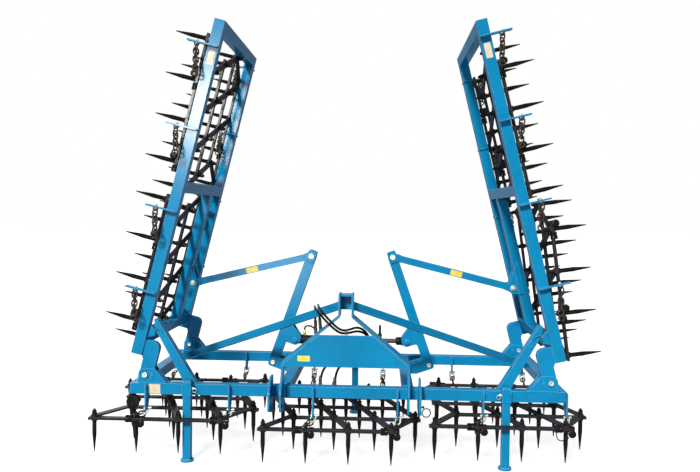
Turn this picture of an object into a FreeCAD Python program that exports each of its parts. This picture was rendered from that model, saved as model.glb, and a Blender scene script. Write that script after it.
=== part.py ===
"""Folded tine harrow: seven spiked sections under a three-part frame that folds for the road.

Millimetres. X runs across the machine, Y rearwards from the tractor side, Z up from the ground.
While it is being built, X = 0 is the middle of the frame, Y = 0 the front beam and Z = 0 the ground;
at the end every piece is moved by the same step, so that the origin is the middle of the footprint.
A wing is drawn as it works, spread flat, from its hinge pin outwards, and is then folded up.
"""
import FreeCAD, Part

import math
import os
from types import SimpleNamespace

import Sketcher
from FreeCAD import Placement, Rotation, Vector

SIZES = [
    # frame of square tube
    ("tube", 70), ("frame_width", 2800), ("frame_depth", 1100), ("frame_top", 490),
    ("inner_tube_x", 400),
    # hinge of each wing: pin above the frame and inboard of its end, in a pair of ears
    ("hinge_x", 1300), ("hinge_rise", 55), ("hinge_pin", 36), ("hinge_eye", 43), ("hinge_head", 12),
    ("hinge_plate", 11), ("hinge_foot", 140), ("hinge_back", 6),
    ("arm_width", 46), ("arm_end", 220), ("arm_depth", 46),
    ("side_gap", 1), ("bore_gap", 0.05),
    # wings
    ("fold_angle", 104), ("wing_start", 116), ("wing_length", 2213),
    ("low_tube_at", 215), ("mid_tube_at", 1235),
    # link that folds a wing, its lever and the cylinder between the levers
    ("link_y", 780), ("link_gap", 70), ("link_width", 60), ("link_height", 50), ("eye_radius", 30),
    ("link_pin", 30), ("link_plate", 10), ("wing_pin_at", 531), ("wing_pin_drop", 19.5),
    ("lever_x", 580), ("lever_z", 486), ("lever_top_x", 302), ("lever_top_z", 1281),
    ("lever_width", 72), ("lug_x", 417), ("lug_z", 652), ("web_thick", 8),
    ("barrel", 64), ("rod", 34), ("rod_gap", 0.05), ("barrel_length", 610), ("cylinder_eye", 30),
    # three-point headstock
    ("hitch_spread", 870), ("hitch_gap", 60), ("hitch_plate", 12), ("hitch_hole", 28.2),
    ("hitch_reach", 165), ("hitch_out", 115), ("hitch_z", 436), ("hitch_bottom", 335),
    ("hitch_top", 600), ("hitch_outer_top", 565),
    ("mast_gap", 71), ("mast_plate", 12), ("mast_bottom", 950), ("mast_top", 1095),
    ("mast_web_low", 982), ("mast_cap_drop", 8), ("mast_cap", 90),
    ("mast_hole", 25.8), ("mast_hole_y", 80), ("mast_hole_z", 1050), ("mast_front", 115),
    ("mast_back", 45), ("splay_knee", 650),
    ("front_plate", 8), ("front_plate_low", 635), ("front_plate_high", 838),
    ("brace", 50), ("brace_top", 1010), ("brace_low", 455), ("brace_end_y", 985),
    # bars that hold the folded wings, and the wings' lugs
    ("lock_bar", 68), ("lock_depth", 60), ("lock_foot_x", 1003), ("lock_tip_x", 1236),
    ("lock_tip_z", 915), ("lug_at", 235), ("lug_foot", 87), ("lug_rise", 50), ("lug_plate", 30),
    # parking legs
    ("leg", 50), ("leg_gap", 0.5), ("sleeve_wall", 4), ("sleeve_height", 85), ("sleeve_rise", 22),
    ("leg_x", 1014), ("rear_leg_x", 20), ("leg_top", 520), ("foot", 84), ("foot_plate", 12),
    # plates that the sections' chains hang from
    ("hanger_pitch", 540), ("hanger_plate", 10), ("hanger_width", 40), ("hanger_shift", 309),
    ("hanger_low_mid", 290), ("hanger_low_side", 316), ("rear_hanger_shift", 217),
    ("rear_hanger_low", 350), ("wing_hanger_left", 532), ("wing_hanger_right", 600),
    ("wing_hanger_back", 85), ("wing_hanger_out", 255), ("chain", 14),
    # one section: five rows of four tines, each row shifted by a few tracks
    ("track", 54), ("tine_pitch", 270), ("row_pitch", 275), ("section_pitch", 1080),
    ("section_x", -515), ("section_y", -130), ("section_mid_z", 230), ("section_side_z", 275),
    ("bar_width", 40), ("bar_thick", 16), ("bar_over", 35), ("rail_width", 45), ("rail_thick", 12),
    ("rail_end", 16), ("tine", 20), ("tine_straight", 90), ("tine_length", 205), ("tine_point", 4),
    # how far each wing section slides inwards and up on its chains when the wing folds
    ("slide_left_inner", 240), ("slide_left_outer", 260), ("slide_right_inner", 200),
    ("slide_right_outer", 222), ("slide_up", 162), ("section_rest", 0.3), ("inner_tilt", 6),
    # hydraulic hoses between the front beam and plugs that are parked on the left brace
    ("hose", 15), ("hose_block", 34), ("hose_block_high", 40), ("plug", 26), ("plug_length", 62),
]
# corners of the hoses' routes, from the block on the beam over the left brace to the plug
HOSE_ROUTES = (
    ((-75, 58, 468), (-75, 58, 610), (60, 50, 640), (165, 20, 690), (175, -25, 790), (95, -70, 868),
     (0, -111, 847), (-50, -136, 862), (-125, -139, 932), (-190, -20, 980), (-213, 70, 1000),
     (-220, 160, 992), (-222, 215, 935), (-220, 225, 850)),
    ((-172, 86, 468), (-172, 86, 610), (15, 86, 652), (160, 45, 720), (150, -15, 820), (85, -70, 892),
     (0, -111, 865), (-45, -138, 882), (-113, -141, 948), (-175, -22, 996), (-190, 66, 1012),
     (-196, 152, 1003), (-196, 205, 950), (-188, 214, 866)),
)
ROW_TRACKS = (0, 3, 1, -1, 2)
# straight stretches of the rails: (row, tracks) at each end
RAILS = (((0, 0), (1, 3)), ((1, 3), (3, -1)), ((3, -1), (4, 2)),
         ((0, 15), (1, 18)), ((1, 18), (3, 14)), ((3, 14), (4, 17)),
         ((0, 10), (4, 2)), ((0, 15), (4, 7)))
LEFT, RIGHT = -1, 1
SIDE_NAME = {LEFT: "left", RIGHT: "right"}
X, Y, Z = Vector(1, 0, 0), Vector(0, 1, 0), Vector(0, 0, 1)

doc = FreeCAD.newDocument("TineHarrow")
sheet = doc.addObject("Spreadsheet::Sheet", "Dim")
for line, (alias, value) in enumerate(SIZES, start=1):
    sheet.set(f"A{line}", alias)
    sheet.set(f"B{line}", str(value))
    sheet.setAlias(f"B{line}", alias)
doc.recompute()
dim = SimpleNamespace(**{alias: float(sheet.get(alias)) for alias, value in SIZES})
nodes = {}


def move(x=0.0, y=0.0, z=0.0, axis=Z, angle=0.0):
    return Placement(Vector(x, y, z), Rotation(axis, angle))


def box(name, length, width, height, place):
    """A box from its low corner; the three sizes are expressions of the sheet."""
    solid = doc.addObject("Part::Box", name)
    solid.setExpression("Length", length)
    solid.setExpression("Width", width)
    solid.setExpression("Height", height)
    solid.Placement = place
    return solid


def cylinder(name, diameter, length, place):
    """A cylinder about Y, centred on the place's origin; both sizes are expressions."""
    solid = doc.addObject("Part::Cylinder", name)
    solid.setExpression("Radius", f"({diameter}) / 2")
    solid.setExpression("Height", length)
    doc.recompute([solid])
    start = Placement(Vector(0, -solid.Height.Value / 2, 0), Rotation(X, -90))
    solid.Placement = place * start
    return solid


def join(name, solids):
    whole = doc.addObject("Part::MultiFuse", name)
    whole.Shapes = solids
    whole.Refine = True
    return whole


def cut(name, base, tool):
    rest = doc.addObject("Part::Cut", name)
    rest.Base, rest.Tool = base, tool
    return rest


def group(name, solids):
    """Like pieces that share a node and don't touch."""
    whole = doc.addObject("Part::Compound", name)
    whole.Links = solids
    return whole


def node(name, solid, place=None):
    """Names a sub-part, which becomes one file, and puts it in its place."""
    solid.Label = name
    if place is not None:
        solid.Placement = place * solid.Placement
    nodes[name] = solid
    return solid


def rounded(outline):
    """Edges of a closed outline of (x, z, radius); a corner with a radius becomes an arc."""
    count = len(outline)
    points = [Vector(x, z, 0) for x, z, radius in outline]
    starts, ends, arcs = [], [], []
    for i, (x, z, radius) in enumerate(outline):
        corner = points[i]
        before = (points[i - 1] - corner).normalize()
        after = (points[(i + 1) % count] - corner).normalize()
        if not radius:
            starts.append(corner)
            ends.append(corner)
            arcs.append(None)
            continue
        half = before.getAngle(after) / 2
        back = radius / math.tan(half)
        middle = corner + (before + after).normalize() * (radius / math.sin(half) - radius)
        starts.append(corner + before * back)
        ends.append(corner + after * back)
        arcs.append(Part.Arc(starts[i], middle, ends[i]))
    edges = []
    for i in range(count):
        if arcs[i]:
            edges.append(arcs[i])
        if ends[i].distanceToPoint(starts[(i + 1) % count]) > 1e-6:
            edges.append(Part.LineSegment(ends[i], starts[(i + 1) % count]))
    return edges


def plate(name, outline, thickness, holes=(), place=None):
    """A plate drawn in X and Z, as thick as the expression says, half on each side of Y = 0.

    holes are (x, z, diameter), the diameter an expression.
    """
    body = doc.addObject("PartDesign::Body", name)
    sketch = body.newObject("Sketcher::SketchObject", name + "_outline")
    plane = next(item for item in body.Origin.OriginFeatures if item.Role == "XZ_Plane")
    sketch.AttachmentSupport = (plane, [""])
    sketch.MapMode = "FlatFace"
    for edge in rounded(outline):
        sketch.addGeometry(edge, False)
    for x, z, diameter in holes:
        circle = sketch.addGeometry(Part.Circle(Vector(x, z, 0), Z, 5), False)
        sketch.addConstraint(Sketcher.Constraint("DistanceX", -1, 1, circle, 3, x))
        sketch.addConstraint(Sketcher.Constraint("DistanceY", -1, 1, circle, 3, z))
        bore = sketch.addConstraint(Sketcher.Constraint("Diameter", circle, 10))
        sketch.setExpression(f"Constraints[{bore}]", diameter)
    pad = body.newObject("PartDesign::Pad", name + "_pad")
    pad.Profile = sketch
    pad.SideType = "Symmetric"
    pad.setExpression("Length", thickness)
    if place is not None:
        body.Placement = place
    return body


def mirrored(outline, side):
    """The outline for one side of the machine: X counts outwards from the middle."""
    return [(side * x, z, radius) for x, z, radius in outline]


def rounded_bar(length, half, nose):
    """Outline of a flat link along X with a round eye of radius nose at each end."""
    lead = math.sqrt(max(nose ** 2 - half ** 2, 0))
    return [(-nose, -nose, nose * 0.99), (lead + nose, -nose, 0), (lead + nose * 1.6, -half, 0),
            (length - lead - nose * 1.6, -half, 0), (length - lead - nose, -nose, 0),
            (length + nose, -nose, nose * 0.99), (length + nose, nose, nose * 0.99),
            (length - lead - nose, nose, 0), (length - lead - nose * 1.6, half, 0),
            (lead + nose * 1.6, half, 0), (lead + nose, nose, 0), (-nose, nose, nose * 0.99)]


def frame_tubes():
    """The rectangle of tube that rests on the legs, with two more tubes inside it."""
    half = dim.tube / 2
    beams = {}
    for name, y in (("front_beam", 0), ("rear_beam", dim.frame_depth)):
        beams[name] = box(name + "_tube", "Dim.frame_width", "Dim.tube", "Dim.tube",
                          move(-dim.frame_width / 2, y - half, dim.frame_top - dim.tube))
    node("rear_beam", beams["rear_beam"])
    blocks = []
    for k, route in enumerate(HOSE_ROUTES):
        x, y, z = route[0]
        blocks.append(box(f"hose_block_{k}", "Dim.hose_block", f"{y} - Dim.tube / 2 + Dim.hose_block / 2",
                          "Dim.hose_block_high",
                          move(x - dim.hose_block / 2, half, z - dim.hose_block_high)))
    node("front_beam", join("front_beam", [beams["front_beam"]] + blocks))
    side_x = dim.frame_width / 2 - half
    tubes = [box(f"frame_tube_{k}", "Dim.tube", "Dim.frame_depth - Dim.tube", "Dim.tube",
                 move(x - half, half, dim.frame_top - dim.tube))
             for k, x in enumerate((-side_x, -dim.inner_tube_x, dim.inner_tube_x, side_x))]
    node("frame_tubes", group("frame_tubes", tubes))


def hinge_brackets():
    """Two ears on the beam's top for each hinge, the plate that closes them and their pin."""
    rise, eye, foot = dim.hinge_rise, dim.hinge_eye, dim.hinge_foot
    shoulder = eye * 1.4
    outline = [(-foot, -rise, 0), (eye * 1.1, -rise, 0), (eye, eye, eye * 0.9),
               (-shoulder, eye, 8)]
    slope = math.atan2(rise + eye, foot - shoulder)
    along = Vector(math.cos(slope), math.sin(slope), 0) * 100
    inward = Vector(math.sin(slope), -math.cos(slope), 0) * dim.hinge_back
    low = Vector(-foot, -rise, 0)
    level = inward - along * (inward.y / along.y)
    closing = [low, low + level, low + along + inward, low + along]
    closing = [(point.x, point.y, 0) for point in closing]
    for side in (LEFT, RIGHT):
        name = f"hinge_brackets_{SIDE_NAME[side]}"
        solids = []
        for end, y in (("front", 0), ("rear", dim.frame_depth)):
            ear_y = dim.arm_width / 2 + dim.side_gap + dim.hinge_plate / 2
            parts = [plate(f"{name}_{end}_{k}", mirrored(outline, side), "Dim.hinge_plate",
                           place=move(y=offset))
                     for k, offset in enumerate((-ear_y, ear_y))]
            parts.append(plate(f"{name}_{end}_back", mirrored(closing, side),
                               "Dim.arm_width + 2 * Dim.side_gap"))
            through = "Dim.arm_width + 2 * (Dim.side_gap + Dim.hinge_plate + Dim.hinge_head)"
            parts.append(cylinder(f"{name}_{end}_pin", "Dim.hinge_pin", through, move()))
            hinge = join(f"{name}_{end}", parts)
            hinge.Placement = move(side * dim.hinge_x, y, dim.frame_top + rise)
            solids.append(hinge)
        node(name, group(name, solids))


def wing_place(side):
    """From a wing spread flat, measured from its hinge pin, to the folded wing."""
    return move(side * dim.hinge_x, 0, dim.frame_top + dim.hinge_rise, Y, -side * dim.fold_angle)


def wing_box(name, side, start, length, width, height, y, drop):
    """A box on a spread wing: start and length run outwards, drop is below the pin."""
    size = doc.addObject("Part::Box", name)
    size.setExpression("Length", length)
    size.setExpression("Width", width)
    size.setExpression("Height", height)
    doc.recompute([size])
    reach = start if side == RIGHT else -start - size.Length.Value
    size.Placement = move(reach, y, -drop - size.Height.Value)
    return size


def wing_frame(side):
    """Two long beams, three tubes across, and the beam that the link pulls."""
    place = wing_place(side)
    name = f"wing_{SIDE_NAME[side]}"
    half, top = dim.tube / 2, dim.hinge_rise
    for end, y in (("front", 0), ("rear", dim.frame_depth)):
        label = f"{name}_{end}_beam"
        node(label, wing_box(label, side, dim.wing_start, "Dim.wing_length", "Dim.tube",
                             "Dim.tube", y - half, top), place)
    label = f"{name}_cross_tubes"
    crossings = (dim.low_tube_at, dim.mid_tube_at, dim.wing_start + dim.wing_length - half)
    tubes = [wing_box(f"{label}_{k}", side, at - half, "Dim.tube", "Dim.frame_depth - Dim.tube",
                      "Dim.tube", half, top) for k, at in enumerate(crossings)]
    node(label, group(label, tubes), place)
    label = f"{name}_link_beam"
    beam = wing_box(label + "_tube", side, dim.low_tube_at + half,
                    "Dim.mid_tube_at - Dim.low_tube_at - Dim.tube", "Dim.tube", "Dim.tube",
                    dim.link_y - half, top)
    at, pin_z, wide = dim.wing_pin_at, -dim.wing_pin_drop, dim.eye_radius
    ear = mirrored([(at - wide * 2, -top - half, 0), (at + wide * 6.3, -top - half, 0),
                    (at + wide * 0.8, pin_z + wide, wide * 0.9),
                    (at - wide * 1.1, pin_z + wide, wide * 0.8)], side)
    hole = [(side * at, pin_z, "Dim.link_pin + 2 * Dim.bore_gap")]
    offset = (dim.link_gap + dim.link_plate) / 2
    ears = [plate(f"{label}_ear_{k}", ear, "Dim.link_plate", hole, move(y=dim.link_y + y))
            for k, y in enumerate((-offset, offset))]
    node(label, join(label, [beam] + ears), place)


def wing_arms(side):
    """A box arm at each hinge, from the pin to the beam's inner face, and the lug of the lock."""
    name = f"wing_{SIDE_NAME[side]}_arms"
    eye, top, deep = dim.hinge_eye, dim.hinge_rise, dim.arm_depth
    outline = mirrored([(-eye, -eye, eye * 0.9), (dim.wing_start * 0.8, -eye, 0),
                        (dim.wing_start, -top, 0), (dim.arm_end, -top, 0),
                        (dim.arm_end, deep, deep), (-eye, deep, eye * 0.9)], side)
    bore = [(0, 0, "Dim.hinge_pin + 2 * Dim.bore_gap")]
    solids = [plate(f"{name}_{end}", outline, "Dim.arm_width", bore, move(y=y))
              for end, y in (("front", 0), ("rear", dim.frame_depth))]
    start, foot, peak = dim.lug_at, dim.lug_foot, dim.lug_rise - top
    lug = mirrored([(start, -top, 0), (start + foot, -top, 0), (start + foot * 0.6, peak, 12),
                    (start + foot * 0.25, peak, 12)], side)
    solids.append(plate(f"{name}_lug", lug, "Dim.lug_plate"))
    node(name, group(name, solids), wing_place(side))


def wing_hangers(side):
    """Plates across the beams' faces, front and rear, that the section chains hang from."""
    name = f"wing_{SIDE_NAME[side]}_hangers"
    half = dim.tube / 2
    first = dim.wing_hanger_left if side == LEFT else dim.wing_hanger_right
    rows = (("front", -half - dim.hanger_width, first),
            ("rear", dim.frame_depth + half, first - side * dim.wing_hanger_back))
    solids = []
    for end, y, begin in rows:
        for k in range(4):
            at = begin + k * dim.hanger_pitch - dim.hanger_plate / 2
            solids.append(wing_box(f"{name}_{end}_{k}", side, at, "Dim.hanger_plate",
                                   "Dim.hanger_width", "Dim.wing_hanger_out - Dim.hinge_rise",
                                   y, dim.hinge_rise))
    node(name, group(name, solids), wing_place(side))


def lever_geometry():
    """Length and slope of a lever, and where its lug sits along and across it."""
    run, rise = dim.lever_x - dim.lever_top_x, dim.lever_top_z - dim.lever_z
    length = math.hypot(run, rise)
    lug_in, lug_up = dim.lever_x - dim.lug_x, dim.lug_z - dim.lever_z
    along = (lug_in * run + lug_up * rise) / length
    across = (lug_in * rise - lug_up * run) / length
    return SimpleNamespace(length=length, slope=math.degrees(math.atan2(rise, run)),
                           along=along, across=across)


def lever_brackets():
    """Two plates beside each inner tube that carry a lever's pivot pin."""
    top, low = dim.frame_top, dim.frame_top - dim.tube
    foot = dim.inner_tube_x + dim.tube / 2
    eye = dim.eye_radius + 6
    outline = [(foot, low, 0), (foot + dim.tube * 0.8, low, 0),
               (dim.lever_x + eye, dim.lever_z - eye * 0.6, eye * 0.5),
               (dim.lever_x + eye, dim.lever_z + eye, eye * 0.9),
               (dim.lever_x - eye, dim.lever_z + eye, eye * 0.9), (foot, top, 0)]
    offset = dim.link_gap / 2 + dim.link_plate + dim.side_gap + dim.link_plate / 2
    through = "Dim.link_gap + 4 * Dim.link_plate + 2 * Dim.side_gap + 2 * Dim.hinge_head"
    pairs = []
    for side in (LEFT, RIGHT):
        name = f"lever_bracket_{SIDE_NAME[side]}"
        parts = [plate(f"{name}_{k}", mirrored(outline, side), "Dim.link_plate",
                       place=move(y=dim.link_y + y)) for k, y in enumerate((-offset, offset))]
        parts.append(cylinder(f"{name}_pin", "Dim.link_pin", through,
                              move(side * dim.lever_x, dim.link_y, dim.lever_z)))
        pairs.append(join(name, parts))
    node("lever_brackets", group("lever_brackets", pairs))


def lever(side):
    """Two plates and a web: pivot at the foot, the link's pin on top, the cylinder's lug inside."""
    name = f"lever_{SIDE_NAME[side]}"
    shape = lever_geometry()
    half, eye, length = dim.lever_width / 2, dim.eye_radius, shape.length
    lug = dim.cylinder_eye + 6
    low, high = shape.along - lug, shape.along + lug
    outline = [(-eye, -half, eye * 0.9), (length + eye, -half, eye * 0.9),
               (length + eye, half, eye * 0.9), (high + 2 * half, half, 30),
               (high, shape.across + lug, lug * 0.95), (low, shape.across + lug, lug * 0.95),
               (low, half, 15), (-eye, half, eye * 0.9)]
    bore = "Dim.link_pin + 2 * Dim.bore_gap"
    holes = [(0, 0, bore)]
    if side == RIGHT:
        holes.append((shape.along, shape.across, bore))
    offset = (dim.link_gap + dim.link_plate) / 2
    parts = [plate(f"{name}_plate_{k}", outline, "Dim.link_plate", holes, move(y=y))
             for k, y in enumerate((-offset, offset))]
    web_start, web_stop = eye * 1.8, length - eye * 3
    parts.append(box(f"{name}_web", str(web_stop - web_start), "Dim.link_gap", "Dim.web_thick",
                     move(web_start, -dim.link_gap / 2, -half)))
    through = "Dim.link_gap + 2 * Dim.link_plate + 2 * Dim.hinge_head"
    parts.append(cylinder(f"{name}_top_pin", "Dim.link_pin", through, move(x=length)))
    if side == LEFT:
        parts.append(cylinder(f"{name}_lug_pin", "Dim.link_pin", through,
                              move(shape.along, 0, shape.across)))
    solid = join(name, parts)
    # drawn along X with the lug above: turned over so that the lug hangs below, then leaned
    lean = move(axis=Y, angle=-shape.slope) * move(axis=X, angle=180)
    if side == RIGHT:
        lean = move(axis=Z, angle=180) * lean
    solid.Placement = move(side * dim.lever_x, dim.link_y, dim.lever_z) * lean
    node(name, solid)


def wing_point(side, along, rise):
    """A point of the folded wing, along it from the pin and above its spread top side."""
    return wing_place(side).multVec(Vector(side * along, 0, rise))


def link(side):
    """Bar with an eye at each end between a lever's top and the wing."""
    name = f"link_{SIDE_NAME[side]}"
    top = Vector(side * dim.lever_top_x, 0, dim.lever_top_z)
    far = wing_point(side, dim.wing_pin_at, -dim.wing_pin_drop)
    length = top.distanceToPoint(far)
    bore = "Dim.link_pin + 2 * Dim.bore_gap"
    bar = plate(name, rounded_bar(length, dim.link_height / 2, dim.eye_radius), "Dim.link_width",
                [(0, 0, bore), (length, 0, bore)])
    lean = math.degrees(math.atan2(far.z - top.z, far.x - top.x))
    node(name, bar, move(top.x, dim.link_y, top.z, Y, -lean))


def cylinder_parts():
    """Hydraulic cylinder between the levers: its barrel hangs on the left one's lug."""
    span = 2 * dim.lug_x
    eye, wide = dim.cylinder_eye, "Dim.link_width - 4"
    bore = "Dim.link_pin + 2 * Dim.bore_gap"
    start = eye * 0.8
    eye_plate = [(-eye, -eye, eye * 0.95), (start + 16, -eye, 0), (start + 16, eye, 0),
                 (-eye, eye, eye * 0.95)]
    lie = Rotation(Y, 90)

    def along_x(name, diameter, length, at):
        solid = doc.addObject("Part::Cylinder", name)
        solid.setExpression("Radius", f"({diameter}) / 2")
        solid.setExpression("Height", length)
        solid.Placement = Placement(Vector(at, 0, 0), lie)
        return solid

    whole = join("barrel_whole", [plate("barrel_eye", eye_plate, wide, [(0, 0, bore)]),
                                  along_x("barrel_tube", "Dim.barrel", "Dim.barrel_length", start + 12),
                                  along_x("barrel_gland", "Dim.barrel + 8", "Dim.link_width",
                                          start + 12 + dim.barrel_length - dim.link_width)])
    bored = cut("barrel_bored", whole, along_x("barrel_bore", "Dim.rod + 2 * Dim.rod_gap",
                                               "Dim.barrel_length", start + 12 + 30))
    node("cylinder_barrel", bored, move(-dim.lug_x, dim.link_y, dim.lug_z))
    far_eye = [(span - x, z, radius) for x, z, radius in eye_plate]
    rod_start = start + 12 + 50
    rod_tube = along_x("rod_bar", "Dim.rod", str(span - start - 10 - rod_start), rod_start)
    rod = join("cylinder_rod", [plate("rod_eye", far_eye, wide, [(span, 0, bore)]), rod_tube])
    node("cylinder_rod", rod, move(-dim.lug_x, dim.link_y, dim.lug_z))


def headstock():
    """Two pairs of plates for the tractor's lower links on the front beam."""
    low, front = dim.hitch_bottom, -dim.tube / 2
    reach = front - dim.hitch_reach
    over_hole, under_hole, corner = 45, 70, 30
    outlines = [[(front, low, 0), (front, high, 0), (front - dim.hitch_reach / 2, high, corner),
                 (reach, dim.hitch_z + over_hole, corner), (reach, dim.hitch_z - under_hole, corner),
                 (front - dim.hitch_reach / 3, low, corner)]
                for high in (dim.hitch_top, dim.hitch_outer_top)]
    hole = [(front - dim.hitch_out, dim.hitch_z, "Dim.hitch_hole")]
    turn = Rotation(Z, 90)
    pairs = []
    for side in (LEFT, RIGHT):
        name = f"headstock_{SIDE_NAME[side]}"
        middle = dim.hitch_spread / 2
        offset = (dim.hitch_gap + dim.hitch_plate) / 2
        plates = []
        for k, x in enumerate((middle - offset, middle + offset)):
            plates.append(plate(f"{name}_{k}", outlines[k], "Dim.hitch_plate", hole,
                                Placement(Vector(side * x, 0, 0), turn)))
        pairs += plates
    node("headstock", group("headstock", pairs))


def mast():
    """Clevis for the top link: two cheeks, the web behind them and a cap behind the pin."""
    low, high = dim.mast_bottom, dim.mast_top
    outline = [(-dim.mast_front, low, 0), (-dim.mast_front, high, 20), (dim.mast_back, high, 0),
               (dim.mast_back, low, 0)]
    hole = [(-dim.mast_hole_y, dim.mast_hole_z, "Dim.mast_hole")]
    turn = Rotation(Z, 90)
    offset = (dim.mast_gap + dim.mast_plate) / 2
    parts = [plate(f"mast_cheek_{k}", outline, "Dim.mast_plate", hole,
                   Placement(Vector(x, 0, 0), turn)) for k, x in enumerate((-offset, offset))]
    left = -dim.mast_gap / 2
    parts.append(box("mast_web", "Dim.mast_gap", "Dim.mast_plate",
                     "Dim.mast_top - Dim.mast_cap_drop - Dim.mast_web_low",
                     move(left, dim.mast_back - dim.mast_plate, dim.mast_web_low)))
    parts.append(box("mast_cap_plate", "Dim.mast_gap", "Dim.mast_cap", "Dim.mast_plate",
                     move(left, dim.mast_back - dim.mast_cap, high - dim.mast_cap_drop - dim.mast_plate)))
    node("mast", join("mast", parts))


def splay_line():
    """Inner side of a splay bar: from under the mast's cheek out to the headstock."""
    top_x = dim.mast_gap / 2
    low_x = dim.hitch_spread / 2 - dim.hitch_gap / 2 - dim.hitch_plate
    return top_x, low_x


def splay_bars():
    """Flat bars that carry the mast's cheeks on, out and down to the headstock's inner plates."""
    top_x, low_x = splay_line()
    thick = dim.mast_plate
    bend_z = dim.mast_bottom
    slope = (low_x - top_x) / (bend_z - dim.splay_knee)
    lift = thick * (math.sqrt(1 + 1 / slope ** 2) - 1 / slope)
    outline = [(top_x, bend_z, 0), (low_x, dim.splay_knee, 0), (low_x, dim.hitch_top, 0),
               (low_x + thick, dim.hitch_top, 0), (low_x + thick, dim.splay_knee + lift, 0),
               (top_x + thick, bend_z, 0)]
    middle_y = (dim.mast_back - dim.mast_front) / 2
    bars = [plate(f"splay_bar_{SIDE_NAME[side]}", mirrored(outline, side),
                  "Dim.mast_front + Dim.mast_back", place=move(y=middle_y)) for side in (LEFT, RIGHT)]
    node("splay_bars", group("splay_bars", bars))


def front_plate():
    """Blank plate between the splay bars."""
    top_x, low_x = splay_line()
    bend_z, knee = dim.mast_bottom, dim.splay_knee
    slope = (low_x - top_x) / (bend_z - knee)
    high_x = top_x + (bend_z - dim.front_plate_high) * slope
    outline = [(low_x, dim.front_plate_low, 0), (low_x, knee, 0), (high_x, dim.front_plate_high, 0),
               (-high_x, dim.front_plate_high, 0), (-low_x, knee, 0), (-low_x, dim.front_plate_low, 0)]
    node("front_plate", plate("front_plate", outline, "Dim.front_plate",
                              place=move(y=-dim.mast_front + dim.front_plate / 2)))


def braces():
    """Long square braces from the mast's cheeks back and out to the side tubes."""
    start_x = dim.mast_gap / 2 + dim.mast_plate
    end_x = dim.frame_width / 2 - dim.tube
    spare = 100
    bars = []
    for side in (LEFT, RIGHT):
        name = f"brace_{SIDE_NAME[side]}"
        start = Vector(side * start_x, 0, dim.brace_top)
        end = Vector(side * end_x, dim.brace_end_y, dim.brace_low)
        along = (end - start).normalize()
        bar = doc.addObject("Part::Box", name + "_bar")
        bar.Length = start.distanceToPoint(end) + 2 * spare
        bar.setExpression("Width", "Dim.brace")
        bar.setExpression("Height", "Dim.brace")
        turn = Rotation(along, Vector(), Z, "XZY")
        corner = start - along * spare - turn.multVec(Vector(0, dim.brace / 2, dim.brace / 2))
        bar.Placement = Placement(corner, turn)
        room = box(name + "_room", "Dim.frame_width / 2 - Dim.tube - Dim.mast_gap / 2 - Dim.mast_plate",
                   "Dim.frame_depth * 2", "Dim.mast_top * 2",
                   move(start_x if side == RIGHT else -end_x, -dim.frame_depth / 2, 0))
        trimmed = doc.addObject("Part::MultiCommon", name)
        trimmed.Shapes = [bar, room]
        bars.append(trimmed)
    node("braces", group("braces", bars))


def lock_bars():
    """Leaning bars on the front beam that the folded wings' lugs meet."""
    foot, tip = dim.lock_foot_x, dim.lock_tip_x
    rise = dim.lock_tip_z - dim.frame_top
    lean = math.atan2(rise, tip - foot)
    half_x = dim.lock_bar / 2 / math.sin(lean)
    outline = [(foot - half_x, dim.frame_top, 0), (foot + half_x, dim.frame_top, 0),
               (foot + half_x + (tip - foot) * 0.78, dim.frame_top + rise * 0.78, 30),
               (tip + half_x * 0.3, dim.lock_tip_z, 8), (tip - half_x * 0.45, dim.lock_tip_z * 0.985, 12)]
    bars = [plate(f"lock_bar_{SIDE_NAME[side]}", mirrored(outline, side), "Dim.lock_depth")
            for side in (LEFT, RIGHT)]
    node("lock_bars", group("lock_bars", bars))


def legs():
    """Three parking legs in sleeves: two on the front beam, one on the rear beam."""
    outer = dim.leg + 2 * dim.leg_gap + 2 * dim.sleeve_wall
    half = dim.tube / 2
    low = dim.frame_top + dim.sleeve_rise - dim.sleeve_height
    places = (("left", -dim.leg_x, -half - outer / 2), ("right", dim.leg_x, -half - outer / 2),
              ("rear", dim.rear_leg_x, dim.frame_depth + half + outer / 2))
    whole, clear = "Dim.leg + 2 * (Dim.leg_gap + Dim.sleeve_wall)", "Dim.leg + 2 * Dim.leg_gap"
    sleeves = []
    for name, x, y in places:
        hollow = (dim.leg + 2 * dim.leg_gap) / 2
        outside = box(f"sleeve_{name}_outside", whole, whole, "Dim.sleeve_height",
                      move(x - outer / 2, y - outer / 2, low))
        inside = box(f"sleeve_{name}_inside", clear, clear, "Dim.sleeve_height * 2",
                     move(x - hollow, y - hollow, low - dim.sleeve_height / 2))
        sleeves.append(cut(f"sleeve_{name}", outside, inside))
        stem = box(f"leg_{name}_stem", "Dim.leg", "Dim.leg", "Dim.leg_top - Dim.foot_plate",
                   move(x - dim.leg / 2, y - dim.leg / 2, dim.foot_plate))
        foot = doc.addObject("Part::Cylinder", f"leg_{name}_foot")
        foot.setExpression("Radius", "Dim.foot / 2")
        foot.setExpression("Height", "Dim.foot_plate")
        foot.Placement = move(x, y, 0)
        node(f"leg_{name}", join(f"leg_{name}", [stem, foot]))
    node("leg_sleeves", group("leg_sleeves", sleeves))


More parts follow.
